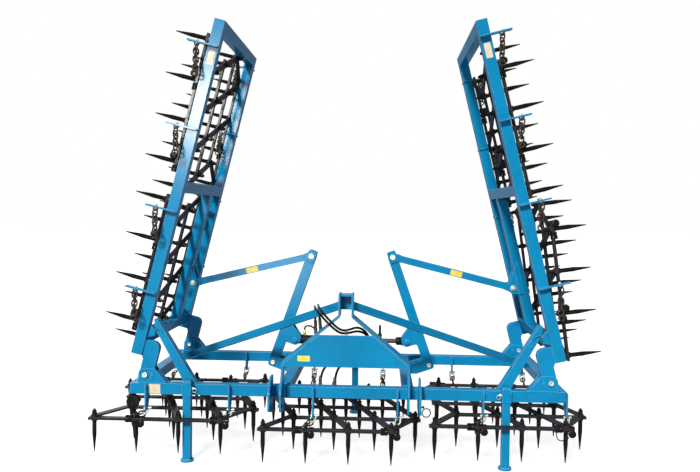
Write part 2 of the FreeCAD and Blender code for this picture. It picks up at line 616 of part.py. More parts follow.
def frame_hangers():
    """Plates on the beams' front faces and the chains from them to the sections' outer rows."""
    half, thin = dim.tube / 2, dim.hanger_plate / 2
    last_row = dim.section_y + 4 * dim.row_pitch
    rows = (("front", -half - dim.hanger_width, dim.hanger_shift, dim.section_y),
            ("rear", dim.frame_depth - half - dim.hanger_width, dim.rear_hanger_shift, last_row))
    ring_in = dim.hanger_shift - dim.tine_pitch
    inside, outside = dim.frame_width / 2 - dim.tube - thin, dim.frame_width / 2 + thin
    inner_end = dim.frame_width / 2 - thin
    turn = Rotation(Z, 90)
    solids, chains = [], []
    for end, y, shift, row_y in rows:
        for k in (-1, 0, 1):
            low = dim.hanger_low_side if k else dim.hanger_low_mid
            if end == "rear":
                low = dim.rear_hanger_low
            bar_top = (dim.section_side_z if k else dim.section_mid_z) + dim.bar_thick
            for j in (0, 1):
                x = dim.section_x + k * dim.section_pitch + shift + j * dim.hanger_pitch
                if end == "rear" and inside - thin < abs(x) < outside:
                    # a side tube is in the way: the plate goes on its nearer face
                    x = math.copysign(outside if x < 0 else inside, x)
                if end == "front":
                    x = min(x, inner_end)
                under = dim.frame_top - dim.tube
                outline = [(y, dim.frame_top, 0), (y, low + dim.hanger_width, 0),
                           (y + dim.hanger_width * 0.2, low, 10), (y + dim.hanger_width, low, 10),
                           (y + dim.hanger_width * 2.1, under - 12, 0),
                           (y + dim.hanger_width * 2.1, under, 0), (y + dim.hanger_width, under, 0),
                           (y + dim.hanger_width, dim.frame_top, 0)]
                if abs(x) > dim.frame_width / 2:
                    # on the side tube's outer face there is nothing to reach under
                    outline[4:7] = []
                solids.append(plate(f"hanger_{end}_{k + 1}_{j}", outline, "Dim.hanger_plate",
                                    place=Placement(Vector(x, 0, 0), turn)))
                hole = Vector(x, y + dim.hanger_width / 2, low)
                ring = Vector(x - ring_in if end == "front" else x, row_y, bar_top)
                if (end, j) == ("front", 1):
                    # an outer rail starts here and lies over the crossbar
                    ring = Vector(x, hole.y - dim.chain, bar_top + dim.rail_thick)
                chains.append(chain(f"chain_{end}_{k + 1}_{j}", hole, ring))
    node("hangers", group("hangers", solids))
    node("chains", group("chains", chains))


def chain(name, hole, ring):
    """Straight rod with level ends that fills the space of a chain."""
    end = doc.addObject("Part::Plane", name + "_end")
    end.setExpression("Length", "Dim.chain")
    end.setExpression("Width", "Dim.chain")
    end.Placement = move(ring.x - dim.chain / 2, ring.y - dim.chain / 2, ring.z)
    rod = doc.addObject("Part::Extrusion", name)
    rod.Base = end
    rod.DirMode = "Custom"
    rod.Dir = hole - ring
    rod.LengthFwd = hole.distanceToPoint(ring)
    rod.Solid = True
    return rod


def hose(name, route):
    """A hose along its route: straight runs, and at each corner an arc that meets both."""
    points = [Vector(*point) for point in route]
    cuts, edges, radii = [points[0]], [], []
    for before, corner, after in zip(points, points[1:], points[2:]):
        back, ahead = before - corner, after - corner
        half_turn = (math.pi - back.getAngle(ahead)) / 2
        reach = 0.45 * min(back.Length, ahead.Length)
        radii.append(reach / math.tan(half_turn))
        back.normalize()
        ahead.normalize()
        middle = (back + ahead).normalize()
        apex = corner + middle * (radii[-1] / math.cos(half_turn) - radii[-1])
        start, stop = corner + back * reach, corner + ahead * reach
        edges.append(Part.LineSegment(cuts[-1], start).toShape())
        edges.append(Part.Arc(start, apex, stop).toShape())
        cuts.append(stop)
    edges.append(Part.LineSegment(cuts[-1], points[-1]).toShape())
    line = doc.addObject("Part::Feature", name + "_route")
    line.Shape = Part.Wire(edges)
    ring = doc.addObject("Part::Circle", name + "_ring")
    ring.setExpression("Radius", "Dim.hose / 2")
    ring.Placement = Placement(points[0], Rotation(Z, points[1] - points[0]))
    tube = doc.addObject("Part::Sweep", name)
    tube.Sections = [ring]
    tube.Spine = (line, [f"Edge{k + 1}" for k in range(len(edges))])
    tube.Solid = True
    tube.Frenet = False
    doc.recompute([line, ring, tube])
    length = line.Shape.Length
    print(name, "length", round(length), "least radius", round(min(radii)),
          "volume over section times length",
          round(tube.Shape.Volume / (math.pi * dim.hose ** 2 / 4 * length), 4))
    return node(name, tube)


def hoses():
    """Two hoses up from the beam, over the front plate and the left brace, with their plugs down."""
    plugs = []
    for k, route in enumerate(HOSE_ROUTES):
        hose(f"hose_{k + 1}", route)
        last, end = Vector(*route[-2]), Vector(*route[-1])
        lie = Rotation(Z, end - last)
        plug = doc.addObject("Part::Cylinder", f"plug_{k + 1}")
        plug.setExpression("Radius", "Dim.plug / 2")
        plug.setExpression("Height", "Dim.plug_length")
        plug.Placement = Placement(end, lie)
        plugs.append(plug)
    node("hose_plugs", group("hose_plugs", plugs))


def section(name, corner, place=None):
    """Solids of one section, from its first tine: crossbars, rails on them and tines below."""
    bars, rails, tines = [], [], []
    for row, tracks in enumerate(ROW_TRACKS):
        x = corner.x + tracks * dim.track
        y = corner.y + row * dim.row_pitch
        bars.append(box(f"{name}_bar_{row}", "3 * Dim.tine_pitch + 2 * Dim.bar_over", "Dim.bar_width",
                        "Dim.bar_thick", move(x - dim.bar_over, y - dim.bar_width / 2, corner.z)))
        for k in range(4):
            tines.append(tine(f"{name}_tine_{row}_{k}", x + k * dim.tine_pitch, y, corner.z))
    for k, (start, end) in enumerate(RAILS):
        a = corner + Vector(start[1] * dim.track, start[0] * dim.row_pitch, dim.bar_thick)
        b = corner + Vector(end[1] * dim.track, end[0] * dim.row_pitch, dim.bar_thick)
        rails.append(rail(f"{name}_rail_{k}", a, b, k))
    return bars, rails, tines


def rail(name, start, end, k):
    """A flat from one crossing to another, short of the knees at its ends."""
    reach = end - start
    slope = math.degrees(math.atan2(reach.y, reach.x))
    # the two long flats give way to the outer rails where they meet them
    first = dim.rail_width * 1.2 if k == 7 else dim.rail_end
    last = dim.rail_width * 1.2 if k == 6 else dim.rail_end
    flat = doc.addObject("Part::Box", name)
    flat.Length = reach.Length - first - last
    flat.setExpression("Width", "Dim.rail_width")
    flat.setExpression("Height", "Dim.rail_thick")
    flat.Placement = (move(start.x, start.y, start.z, Z, slope)
                      * move(first, -dim.rail_width / 2, 0))
    return flat


def tine(name, x, y, z):
    """Square spike set on edge under a crossbar, straight and then drawn to a point."""
    half, point = dim.tine / 2, dim.tine_point / 2
    straight = box(name + "_stem", "Dim.tine", "Dim.tine", "Dim.tine_straight",
                   move(-half, -half, -dim.tine_straight))
    taper = doc.addObject("Part::Wedge", name + "_point")
    taper.setExpression("Ymax", "Dim.tine_length - Dim.tine_straight")
    taper.Ymin = 0
    for low, high, size in (("Xmin", "Xmax", half), ("Zmin", "Zmax", half),
                            ("X2min", "X2max", point), ("Z2min", "Z2max", point)):
        setattr(taper, low, -size)
        setattr(taper, high, size)
    taper.Placement = Placement(Vector(0, 0, -dim.tine_straight), Rotation(X, -90))
    spike = join(name, [straight, taper])
    spike.Placement = move(x, y, z, Z, 45)
    return spike


def frame_sections():
    """Three sections on chains under the frame; the middle one hangs lower."""
    for k, name in ((-1, "section_left"), (0, "section_middle"), (1, "section_right")):
        z = dim.section_side_z if k else dim.section_mid_z
        corner = Vector(dim.section_x + k * dim.section_pitch, dim.section_y, z)
        for kind, solids in zip(("bars", "rails", "tines"), section(name, corner)):
            node(f"{name}_{kind}", group(f"{name}_{kind}", solids))


def wing_sections(side):
    """Two sections on each wing, lying on its outer side while it is folded."""
    top = dim.hinge_rise + dim.tube + dim.section_rest
    under = top + dim.rail_thick + dim.bar_thick
    for k, reach in enumerate(("inner", "outer")):
        name = f"wing_{SIDE_NAME[side]}_{reach}"
        spread = dim.section_x + side * (k + 2) * dim.section_pitch
        slide = getattr(dim, f"slide_{SIDE_NAME[side]}_{reach}")
        first = spread - side * (dim.hinge_x + slide)
        place = wing_place(side)
        if (side, reach) == (RIGHT, "inner"):
            # leans away from the wing about the lower corner of its rails
            heel = move(first - dim.rail_width / 4, 0, -top)
            place = place * heel * move(axis=Y, angle=dim.inner_tilt) * heel.inverse()
        solids = section(name, Vector(first, 0, -under))
        for kind, found in zip(("bars", "rails", "tines"), solids):
            node(f"{name}_{kind}", group(f"{name}_{kind}", found), place)


def build():
    frame_tubes()
    hinge_brackets()
    lever_brackets()
    headstock()
    mast()
    splay_bars()
    front_plate()
    braces()
    lock_bars()
    legs()
    frame_hangers()
    hoses()
    frame_sections()
    for side in (LEFT, RIGHT):
        wing_frame(side)
        wing_arms(side)
        wing_hangers(side)
        wing_sections(side)
        lever(side)
        link(side)
    cylinder_parts()


def centre():
    """Moves every sub-part so that the origin is the middle of the footprint."""
    doc.recompute()
    bounds = FreeCAD.BoundBox()
    for solid in nodes.values():
        bounds.add(solid.Shape.BoundBox)
    shift = move(-bounds.Center.x, -bounds.Center.y, -bounds.ZMin)
    for solid in nodes.values():
        solid.Placement = shift * solid.Placement
    doc.recompute()
    return shift.Base


def export():
    for item in doc.Objects:
        if "Invalid" in item.State or "Error" in item.State:
            raise RuntimeError(f"{item.Label} failed: {item.State}")
    os.makedirs("parts", exist_ok=True)
    for name, solid in nodes.items():
        if solid.Shape.isNull() or not solid.Shape.isValid() or not solid.Shape.Solids:
            raise RuntimeError(f"{name} has no valid solid")
        solid.Shape.exportStep(f"parts/{name}.step")


build()
origin_shift = centre()
export()
print("sub-parts:", len(nodes), "moved by", origin_shift)
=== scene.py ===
"""Looks of the folded tine harrow: its materials, its small parts, the light and the camera.

Metres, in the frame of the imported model. Places are given as on the machine: x across it from the
middle, y rearwards from the front beam's axis, z up from the ground. On a wing they are given as
(along, y, drop): outwards from the hinge pin and down from it, with the wing spread flat.
"""
import math
import random

import bmesh
import bpy
from mathutils import Matrix, Vector
from mathutils.bvhtree import BVHTree


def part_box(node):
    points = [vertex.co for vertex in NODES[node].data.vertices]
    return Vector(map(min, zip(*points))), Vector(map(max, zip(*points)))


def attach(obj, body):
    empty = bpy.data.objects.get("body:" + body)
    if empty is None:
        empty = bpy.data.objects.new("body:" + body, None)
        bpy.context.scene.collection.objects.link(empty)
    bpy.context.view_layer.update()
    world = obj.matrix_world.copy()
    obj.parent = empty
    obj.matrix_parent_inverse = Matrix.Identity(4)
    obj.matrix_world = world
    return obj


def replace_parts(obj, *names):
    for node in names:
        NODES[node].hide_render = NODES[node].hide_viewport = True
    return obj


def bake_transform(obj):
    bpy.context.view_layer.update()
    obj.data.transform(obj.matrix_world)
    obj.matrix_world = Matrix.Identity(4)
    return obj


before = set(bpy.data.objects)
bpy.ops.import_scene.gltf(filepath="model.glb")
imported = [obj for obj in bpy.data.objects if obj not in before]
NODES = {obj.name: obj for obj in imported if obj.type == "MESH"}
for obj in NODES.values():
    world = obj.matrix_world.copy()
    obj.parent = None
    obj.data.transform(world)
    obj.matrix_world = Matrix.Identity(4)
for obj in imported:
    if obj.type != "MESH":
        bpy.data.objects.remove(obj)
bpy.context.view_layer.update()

LEFT, RIGHT = -1, 1
SIDES = {LEFT: "left", RIGHT: "right"}
X_WAY, Y_WAY, Z_WAY = Vector((1, 0, 0)), Vector((0, 1, 0)), Vector((0, 0, 1))
FACES = (-Y_WAY, Y_WAY)     # the ways that front and rear faces look

# Centre frame: depth between the beams' axes, top, side of its square tubes, outer faces of its
# beams, heights between which plates are welded to those faces, legs' sleeves, (x, z) of the lock
# bars' ends, edges of the lower hitch plates, and the face of the headstock's front plate.
DEPTH, TOP, TUBE = 1.100, 0.490, 0.070
FRONT, REAR = -TUBE / 2, DEPTH + TUBE / 2
WELD_LOW, WELD_HIGH = 0.424, 0.486
LEG_X, SLEEVE_HALF, LEG_BOLT_Z = 1.014, 0.0295, 0.468
LOCK_FOOT, LOCK_TIP = (1.003, TOP), (1.236, 0.915)
HITCH_EDGES = (0.393, 0.405, 0.465, 0.477)
MAST_FRONT = -0.115
# Hinges: the pin's place, and the faces of the ears and of the arm between them.
HINGE_X, HINGE_Z = 1.300, 0.545
EAR_FACE, ARM_FACE = 0.035, 0.024
# Wings: how far they fold, then distances along a wing and down from its hinge pin. HANGER_FROM
# says where the first hanger is along the front beam and along the rear one.
FOLD = math.radians(104)
WING_START, WING_END, WING_CROSS = 0.116, 2.329, (0.215, 1.235)
WING_TOP, WING_LOW = 0.055, 0.125
HANGER_FROM = {LEFT: (0.532, 0.617), RIGHT: (0.600, 0.515)}
HANGER_PITCH, HANGER_HOLE = 0.540, 0.190
WING_PIN = (0.531, 0.0195)
# Linkage: its middle plane, the cylinder's axis and top, (x, z) of the lever's pins, and how far
# the faces of its layers are from that plane.
LINK_Y = 0.780
CYLINDER_Z, CYLINDER_TOP = 0.652, 0.684
LEVER_PIVOT, LEVER_TOP, LEVER_LUG = (0.580, 0.486), (0.302, 1.281), (0.417, CYLINDER_Z)
LINK_FACE, LEVER_FACE, BRACKET_FACE = 0.030, 0.045, 0.056

rear_low, rear_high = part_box("rear_beam")
ORIGIN = Vector(((rear_low.x + rear_high.x) / 2, (rear_low.y + rear_high.y) / 2 - DEPTH, 0))


def at(x, y, z):
    """A point of the machine in the row frame."""
    return ORIGIN + Vector((x, y, z))


def beside(side, x, y, z):
    """A point of the machine, with x outwards from the middle."""
    return at(side * x, y, z)


def wing_matrix(side):
    """Takes a point of the spread wing, measured from its hinge pin, to the folded wing."""
    turn = Matrix.Rotation(-side * FOLD, 4, "Y")
    return Matrix.Translation(beside(side, HINGE_X, 0, HINGE_Z)) @ turn


WING = {side: wing_matrix(side) for side in SIDES}
OUTWARD = {side: WING[side].to_3x3() @ Vector((side, 0, 0)) for side in SIDES}


def on_wing(side, along, y, drop):
    """A point of the folded wing."""
    return WING[side] @ Vector((side * along, y, -drop))


# ---- materials

COAT_ROUGHNESS = 0.22


class Nodes:
    """A node tree, with helpers that add nodes and join them."""

    def __init__(self, tree):
        self.tree = tree

    def add(self, kind, inputs=None, **settings):
        """Adds a node of a kind, with its own settings and what it is fed with."""
        made = self.tree.nodes.new(kind)
        for key, value in settings.items():
            setattr(made, key, value)
        self.feed(made, inputs or {})
        return made

    def feed(self, node, inputs):
        """Links another node's output to each input, or sets its own number, vector or colour."""
        for key, value in inputs.items():
            socket = node.inputs[key]
            if isinstance(value, bpy.types.NodeSocket):
                self.tree.links.new(value, socket)
            else:
                socket.default_value = (*value, 1) if socket.type == "RGBA" else value

    def maths(self, operation, first, second):
        """A maths node's result for two sockets or numbers."""
        return self.add("ShaderNodeMath", {0: first, 1: second}, operation=operation).outputs[0]

    def white_rays(self):
        """1 for rays that find plain white: the camera's own, mirrored and transmitted ones."""
        path = self.add("ShaderNodeLightPath")
        camera_ray, *others = (path.outputs[f"Is {kind} Ray"]
                               for kind in ("Camera", "Glossy", "Transmission"))
        return self.maths("MAXIMUM", camera_ray, self.maths("MAXIMUM", *others))


class Look(Nodes):
    """A material and the helpers that paint it."""

    def __init__(self, name):
        self.material = bpy.data.materials.new(name)
        self.material.use_nodes = True
        super().__init__(self.material.node_tree)
        self.shader = self.tree.nodes["Principled BSDF"]
        self.place = self.add("ShaderNodeTexCoord").outputs["Object"]

    def noise(self, scale, detail=3.0, rough=0.5, stretch=None):
        """Noise in the piece's own coordinates; scale is in waves a metre."""
        place = self.place
        if stretch:
            mapping = self.add("ShaderNodeMapping", {"Vector": place, "Scale": stretch})
            place = mapping.outputs["Vector"]
        return self.add("ShaderNodeTexNoise", {"Vector": place, "Scale": scale, "Detail": detail,
                                               "Roughness": rough}).outputs["Fac"]

    def spread(self, value, low, high, to_low=0.0, to_high=1.0):
        """Maps a value from one range to another, and keeps it inside."""
        return self.add("ShaderNodeMapRange", {
            "Value": value, "From Min": low, "From Max": high,
            "To Min": to_low, "To Max": to_high}).outputs["Result"]

    def mix(self, share, first, second):
        """A colour between the first one, at share 0, and the second one, at share 1."""
        return self.add("ShaderNodeMix", {"Factor": share, "A": first, "B": second},
                        data_type="RGBA").outputs["Result"]

    def rounded(self, radius):
        """Normals of slightly rounded edges, and how near to an edge a place is."""
        bent = self.add("ShaderNodeBevel", {"Radius": radius}, samples=6).outputs["Normal"]
        flat = self.add("ShaderNodeNewGeometry").outputs["Normal"]
        dot = self.add("ShaderNodeVectorMath", {0: bent, 1: flat}, operation="DOT_PRODUCT")
        return bent, self.spread(dot.outputs["Value"], 0.999, 0.85)

    def bump(self, height, strength, distance, normal=None):
        """Feeds the shader's normal from a height, over the normal that is given."""
        inputs = {"Strength": strength, "Distance": distance, "Height": height}
        if normal:
            inputs["Normal"] = normal
        made = self.add("ShaderNodeBump", inputs)
        self.feed(self.shader, {"Normal": made.outputs["Normal"]})

    def finish(self, colour, roughness, metallic=0.0, coat=0.0, shine=0.5):
        """Sets the shader's colour and gloss, and gives the finished material."""
        self.feed(self.shader, {
            "Base Color": colour, "Roughness": roughness, "Metallic": metallic,
            "Coat Weight": coat, "Coat Roughness": COAT_ROUGHNESS, "Specular IOR Level": shine})
        return self.material


def gloss_paint(name, colour, deep, edge_colour, chip_colour):
    """Sprayed gloss paint: cloudy in tone, chipped here and there, pale on edges from thin paint
    and a painted highlight.
    """
    look = Look(name)
    normal, edge = look.rounded(0.0045)
    clouds = look.spread(look.noise(2.2, 4), 0.35, 0.68)
    dirt = look.spread(look.noise(14, 5, 0.6), 0.52, 0.8, 0.0, 0.35)
    shade = look.mix(clouds, colour, deep)
    shade = look.mix(dirt, shade, (deep[0] * 0.8, deep[1] * 0.62, deep[2] * 0.55))
    # paler edges: partly thin paint, partly a painted highlight of lit edges
    shade = look.mix(look.maths("MULTIPLY", edge, 0.8), shade, edge_colour)
    chips = look.maths("MULTIPLY", edge, look.spread(look.noise(90, 4, 0.7), 0.6, 0.66))
    shade = look.mix(chips, shade, chip_colour)
    roughness = look.spread(look.noise(7, 3), 0.3, 0.7, 0.3, 0.44)
    look.bump(look.noise(260, 2), 0.06, 0.0006, normal)
    return look.finish(shade, roughness, coat=0.18, shine=0.0)


def black_paint(name, colour, rust, edge_colour, rust_from, roughness=0.45):
    """Thin black paint over rolled steel: rust comes through in patches and along the edges.

    rust_from is the noise level at which the patches start: higher means less rust.
    """
    look = Look(name)
    normal, edge = look.rounded(0.003)
    patches = look.spread(look.noise(9, 6, 0.65), rust_from, rust_from + 0.16)
    specks = look.spread(look.noise(85, 5, 0.7), 0.58, 0.72, 0.0, 0.6)
    shade = look.mix(look.maths("MAXIMUM", patches, specks), colour, rust)
    worn = look.maths("MULTIPLY", edge, look.spread(look.noise(40, 4, 0.7), 0.38, 0.6))
    shade = look.mix(worn, shade, edge_colour)
    rough = look.spread(patches, 0, 1, roughness, 0.8)
    look.bump(look.noise(170, 6, 0.7), 0.35, 0.0012, normal)
    return look.finish(shade, rough, coat=0.1, shine=0.0)


def plated(name, colour, stain, metallic, roughness, shine=0.5):
    """Plated or bare metal, dulled in patches, with fine turning marks."""
    look = Look(name)
    normal, edge = look.rounded(0.0015)
    patches = look.spread(look.noise(45, 5, 0.65), 0.45, 0.75)
    shade = look.mix(patches, colour, stain)
    bright = tuple(min(1.0, value * 1.35) for value in colour)
    shade = look.mix(look.maths("MULTIPLY", edge, 0.6), shade, bright)
    rough = look.spread(look.noise(120, 3), 0.3, 0.7, roughness, roughness + 0.2)
    look.bump(look.noise(420, 3, stretch=(1, 1, 5)), 0.12, 0.0004, normal)
    return look.finish(shade, rough, metallic=metallic, shine=shine)


def chrome(name):
    """Hard chrome with a dark base colour, darker and rougher in patches."""
    look = Look(name)
    dark_rough_patches = look.spread(look.noise(18, 4), 0.4, 0.7)
    # dark base colour for the chrome, darker again in patches
    shade = look.mix(dark_rough_patches, (0.16, 0.16, 0.17), (0.080, 0.075, 0.070))
    rough = look.spread(dark_rough_patches, 0, 1, 0.07, 0.24)
    look.bump(look.noise(600, 2, stretch=(0.02, 1, 1)), 0.05, 0.0002)
    return look.finish(shade, rough, metallic=1.0)


def rubber(name):
    """Black hose rubber with a wrapped-cloth print and dust."""
    look = Look(name)
    dust = look.spread(look.noise(30, 5, 0.6), 0.5, 0.8, 0.0, 0.5)
    shade = look.mix(dust, (0.006, 0.006, 0.007), (0.026, 0.024, 0.021))
    rough = look.spread(dust, 0, 0.5, 0.42, 0.7)
    look.bump(look.noise(700, 2), 0.3, 0.0006)
    return look.finish(shade, rough, shine=0.04)


def plain_label(name, colour, faded):
    """Blank film label, faded and scuffed."""
    look = Look(name)
    fade = look.spread(look.noise(38, 4), 0.4, 0.75)
    scuffs = look.spread(look.noise(240, 5, 0.7), 0.66, 0.74, 0.0, 0.5)
    shade = look.mix(fade, colour, faded)
    shade = look.mix(scuffs, shade, tuple(value * 0.45 for value in faded))
    rough = look.spread(look.noise(60, 2), 0.3, 0.7, 0.4, 0.6)
    look.bump(look.noise(150, 2), 0.08, 0.0004)
    return look.finish(shade, rough, coat=0.05, shine=0.2)


# the fourth colour is the pale edge: thin paint with a painted highlight
BLUE = gloss_paint("blue_gloss", (0.003, 0.262, 0.54), (0.003, 0.215, 0.43),
                   (0.22, 0.55, 0.78), (0.32, 0.40, 0.44))
BLACK = black_paint("black_bars", (0.024, 0.027, 0.034), (0.062, 0.036, 0.020),
                    (0.13, 0.115, 0.10), rust_from=0.6)
TINE = black_paint("tine_black", (0.008, 0.0075, 0.0075), (0.040, 0.023, 0.014),
                   (0.07, 0.056, 0.046), rust_from=0.54, roughness=0.5)
NUTS = black_paint("nut_black", (0.010, 0.009, 0.009), (0.040, 0.025, 0.016),
                   (0.10, 0.085, 0.07), rust_from=0.58, roughness=0.5)
CHAIN = plated("chain_dark", (0.028, 0.024, 0.021), (0.034, 0.020, 0.012), 0.15, 0.46, shine=0.15)
ZINC = plated("zinc_cream", (0.78, 0.70, 0.50), (0.55, 0.46, 0.28), 0.55, 0.34)
SHACKLE = plated("shackle_zinc", (0.42, 0.42, 0.38), (0.28, 0.26, 0.21), 0.45, 0.34)
STEEL = plated("pin_steel", (0.52, 0.55, 0.56), (0.34, 0.36, 0.36), 0.5, 0.34)
PLUG = plated("coupler_zinc", (0.060, 0.055, 0.050), (0.035, 0.031, 0.027), 0.5, 0.38)
BRASS = plated("brass", (0.50, 0.34, 0.13), (0.28, 0.18, 0.08), 0.9, 0.3)
CYLINDER = black_paint("cylinder_black", (0.012, 0.012, 0.013), (0.04, 0.035, 0.03),
                       (0.12, 0.11, 0.10), rust_from=0.66, roughness=0.33)
CHROME = chrome("rod_chrome")
RUBBER = rubber("hose_black")
GREEN = plain_label("tie_green", (0.010, 0.075, 0.055), (0.02, 0.11, 0.08))
YELLOW = plain_label("label_yellow", (0.86, 0.66, 0.06), (0.88, 0.74, 0.24))
BEIGE = plain_label("label_beige", (0.70, 0.60, 0.42), (0.80, 0.74, 0.56))

# Looks of each material slot; the first is the look of the CAD's own pieces.
LOOKS_OF = {"blue_paint": (BLUE, YELLOW, BEIGE), "black_paint": (BLACK, NUTS, CYLINDER),
            "tine_steel": (TINE,), "chain_steel": (CHAIN, SHACKLE), "chromed_rod": (CHROME,),
            "hose_rubber": (RUBBER, GREEN), "plug_steel": (PLUG, ZINC, STEEL, BRASS)}

for node in NODES.values():
    for held in node.material_slots:
        held.material = LOOKS_OF[held.material.name.split(".")[0]][0]
NODES["cylinder_barrel"].material_slots[0].material = CYLINDER

# ---- shapes in mesh code


def aim(point, direction, spin=Vector((0, -1, 0))):
    """A place at point whose Z axis is direction and whose X axis is as near to spin as can be."""
    z = Vector(direction).normalized()
    x = Vector(spin) - z * z.dot(Vector(spin))
    if x.length < 1e-4:
        x = z.orthogonal()
    x.normalize()
    turn = Matrix((x, z.cross(x), z)).transposed().to_4x4()
    return Matrix.Translation(point) @ turn


def skin(bm, rings, closed=False):
    """Faces between rings of vertices, which end in caps or close on themselves."""
    count = len(rings[0])
    pairs = list(zip(rings, rings[1:]))
    if closed:
        pairs.append((rings[-1], rings[0]))
    for low, high in pairs:
        for k in range(count):
            n = (k + 1) % count
            bm.faces.new((low[k], low[n], high[n], high[k]))
    if not closed:
        bm.faces.new(list(reversed(rings[0])))
        bm.faces.new(rings[-1])


def lay(place, outline, height=0):
    """Points of an outline of (x, y) in a place's own plane, or over it."""
    return [place @ Vector((x, y, height)) for x, y in outline]


def circle(radius, sides):
    """Outline of a regular polygon about the origin."""
    return [(radius * math.cos(a), radius * math.sin(a))
            for a in (2 * math.pi * k / sides for k in range(sides))]


def loft(bm, place, rings):
    """A solid through outlines of equal counts, each given with its height over the place."""
    skin(bm, [[bm.verts.new(point) for point in lay(place, *ring)] for ring in rings])


def lathe(bm, profile, place, sides=28):
    """A turned solid about the place's Z axis; profile is (radius, height) from foot to head."""
    loft(bm, place, [(circle(radius, sides), height) for radius, height in profile])


def prism(bm, outline, low, high, place):
    """An outline of (x, y) in the place's own plane, from low to high along its Z axis."""
    loft(bm, place, [(outline, low), (outline, high)])


def tube(bm, points, radius, sides, closed=False):
    """A round bar along points; radius is one number or one for each point."""
    points = [Vector(point) for point in points]
    count = len(points)
    radii = radius if isinstance(radius, (list, tuple)) else [radius] * count
    rings, side = [], None
    for k, point in enumerate(points):
        before = points[(k - 1) % count] if closed or k else point
        after = points[(k + 1) % count] if closed or k < count - 1 else point
        ahead = (after - before).normalized()
        if side is None:
            side = ahead.orthogonal().normalized()
        side = (side - ahead * ahead.dot(side)).normalized()
        up = ahead.cross(side)
        rings.append([bm.verts.new(point + (side * math.cos(a) + up * math.sin(a)) * radii[k])
                      for a in (2 * math.pi * i / sides for i in range(sides))])
    skin(bm, rings, closed)


def rounded_box(width, height, corner, steps=4):
    """Outline of a rectangle with round corners about the origin."""
    outline = []
    for sx, sy, start in ((1, 1, 0), (-1, 1, 90), (-1, -1, 180), (1, -1, 270)):
        for k in range(steps + 1):
            a = math.radians(start + 90 * k / steps)
            outline.append((sx * (width / 2 - corner) + corner * math.cos(a),
                            sy * (height / 2 - corner) + corner * math.sin(a)))
    return outline


def hexagon(flats):
    """Outline of a hexagon by its width across flats."""
    return circle(flats / math.sqrt(3), 6)


def oval(length, width):
    """Middle line of a chain link in its own X and Y, longer along X."""
    radius, reach, steps = width / 2, (length - width) / 2, 6
    points = []
    for sign, start in ((1, -90), (-1, 90)):
        for k in range(steps + 1):
            a = math.radians(start + 180 * k / steps)
            points.append((sign * reach + radius * math.cos(a), radius * math.sin(a)))
    return points


def chain_links(bm, start, end, phase):
    """Links from start to end, each turned a quarter from the last, the first one by phase."""
    run, wire = end - start, CHAIN_WIRE
    count = max(1, round(run.length / (wire * 3.1)))
    length = run.length / count + 2 * wire
    for k in range(count):
        middle = start + run * ((k + 0.5) / count)
        twist = Matrix.Rotation(phase + math.pi / 2 * (k % 2), 4, "Z")
        place = aim(middle, run) @ twist
        points = [place @ Vector((0, y, x)) for x, y in oval(length, wire * 3.2)]
        tube(bm, points, wire / 2, 7, closed=True)


SHARP_ANGLE, BEVEL_ANGLE = math.radians(40), math.radians(35)
scene = bpy.context.scene


def put(name, data):
    """A new object in the scene."""
    made = bpy.data.objects.new(name, data)
    scene.collection.objects.link(made)
    return made


def piece(name, bm, body, look, bevel=0.0):
    """Turns a bmesh into a named object that rides on a body, if one is named."""
    bmesh.ops.recalc_face_normals(bm, faces=bm.faces)
    mesh = bpy.data.meshes.new(name)
    bm.to_mesh(mesh)
    bm.free()
    mesh.shade_smooth()
    mesh.set_sharp_from_angle(angle=SHARP_ANGLE)
    mesh.materials.append(look)
    made = put(name, mesh)
    if bevel:
        soften = made.modifiers.new("soften", "BEVEL")
        soften.width = bevel
        soften.segments = 2
        soften.limit_method = "ANGLE"
        soften.angle_limit = BEVEL_ANGLE
    if body:
        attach(made, body)
    return made


def islands(node):
    """The separate solids of a CAD node, each a list of its points."""
    mesh = NODES[node].data
    merged = {}
    where = [merged.setdefault(tuple(round(c, 5) for c in vertex.co), len(merged))
             for vertex in mesh.vertices]
    points = [Vector(key) for key in merged]
    parent = list(range(len(points)))

    def root(k):
        """The first point of the solid that point k belongs to."""
        while parent[k] != k:
            parent[k] = parent[parent[k]]
            k = parent[k]
        return k

    for edge in mesh.edges:
        first, second = (root(where[v]) for v in edge.vertices)
        parent[first] = second
    groups = {}
    for k, point in enumerate(points):
        groups.setdefault(root(k), []).append(point)
    return list(groups.values())


def ends(points, share):
    """Middles of the two far ends of a long solid; share of its length counts as an end."""
    far = max(points, key=lambda p: (p - points[0]).length)
    near = max(points, key=lambda p: (p - far).length)
    run = far - near
    low = [p for p in points if (p - near).dot(run) < share * run.length_squared]
    high = [p for p in points if (p - near).dot(run) > (1 - share) * run.length_squared]
    return sum(low, Vector()) / len(low), sum(high, Vector()) / len(high)


# ---- camera and light

scene.view_settings.view_transform = "Standard"


def camera():
    """Stands in front of the machine, a little to its right and level with a person's eyes."""
    made = put("camera", bpy.data.cameras.new("camera"))
    yaw, pitch, roll = 0.0434, -0.0334, 0.0116
    turn = (Matrix.Rotation(yaw, 4, "Z") @ Matrix.Rotation(math.pi / 2 + pitch, 4, "X")
            @ Matrix.Rotation(roll, 4, "Z"))
    made.matrix_world = Matrix.Translation(at(0.2196, -4.6853, 1.6158)) @ turn
    made.data.sensor_width, made.data.lens = 36, 37.694
    made.data.clip_end = 200
    scene.camera = made


def light(name, kind, direction, energy, colour):
    """A light that shines in a direction."""
    made = put(name, bpy.data.lights.new(name, kind))
    made.data.energy, made.data.color = energy, colour
    made.rotation_mode = "QUATERNION"
    made.rotation_quaternion = direction.to_track_quat("-Z", "Y")
    return made


def lamp(name, place, target, size, power, colour=(1, 1, 1), shine_only=False):
    """An oval area lamp; size is its width and height."""
    made = light(name, "AREA", at(*target) - at(*place), power, colour)
    made.location = at(*place)
    made.data.shape = "ELLIPSE"
    made.data.size, made.data.size_y = size
    made.visible_diffuse = not shine_only


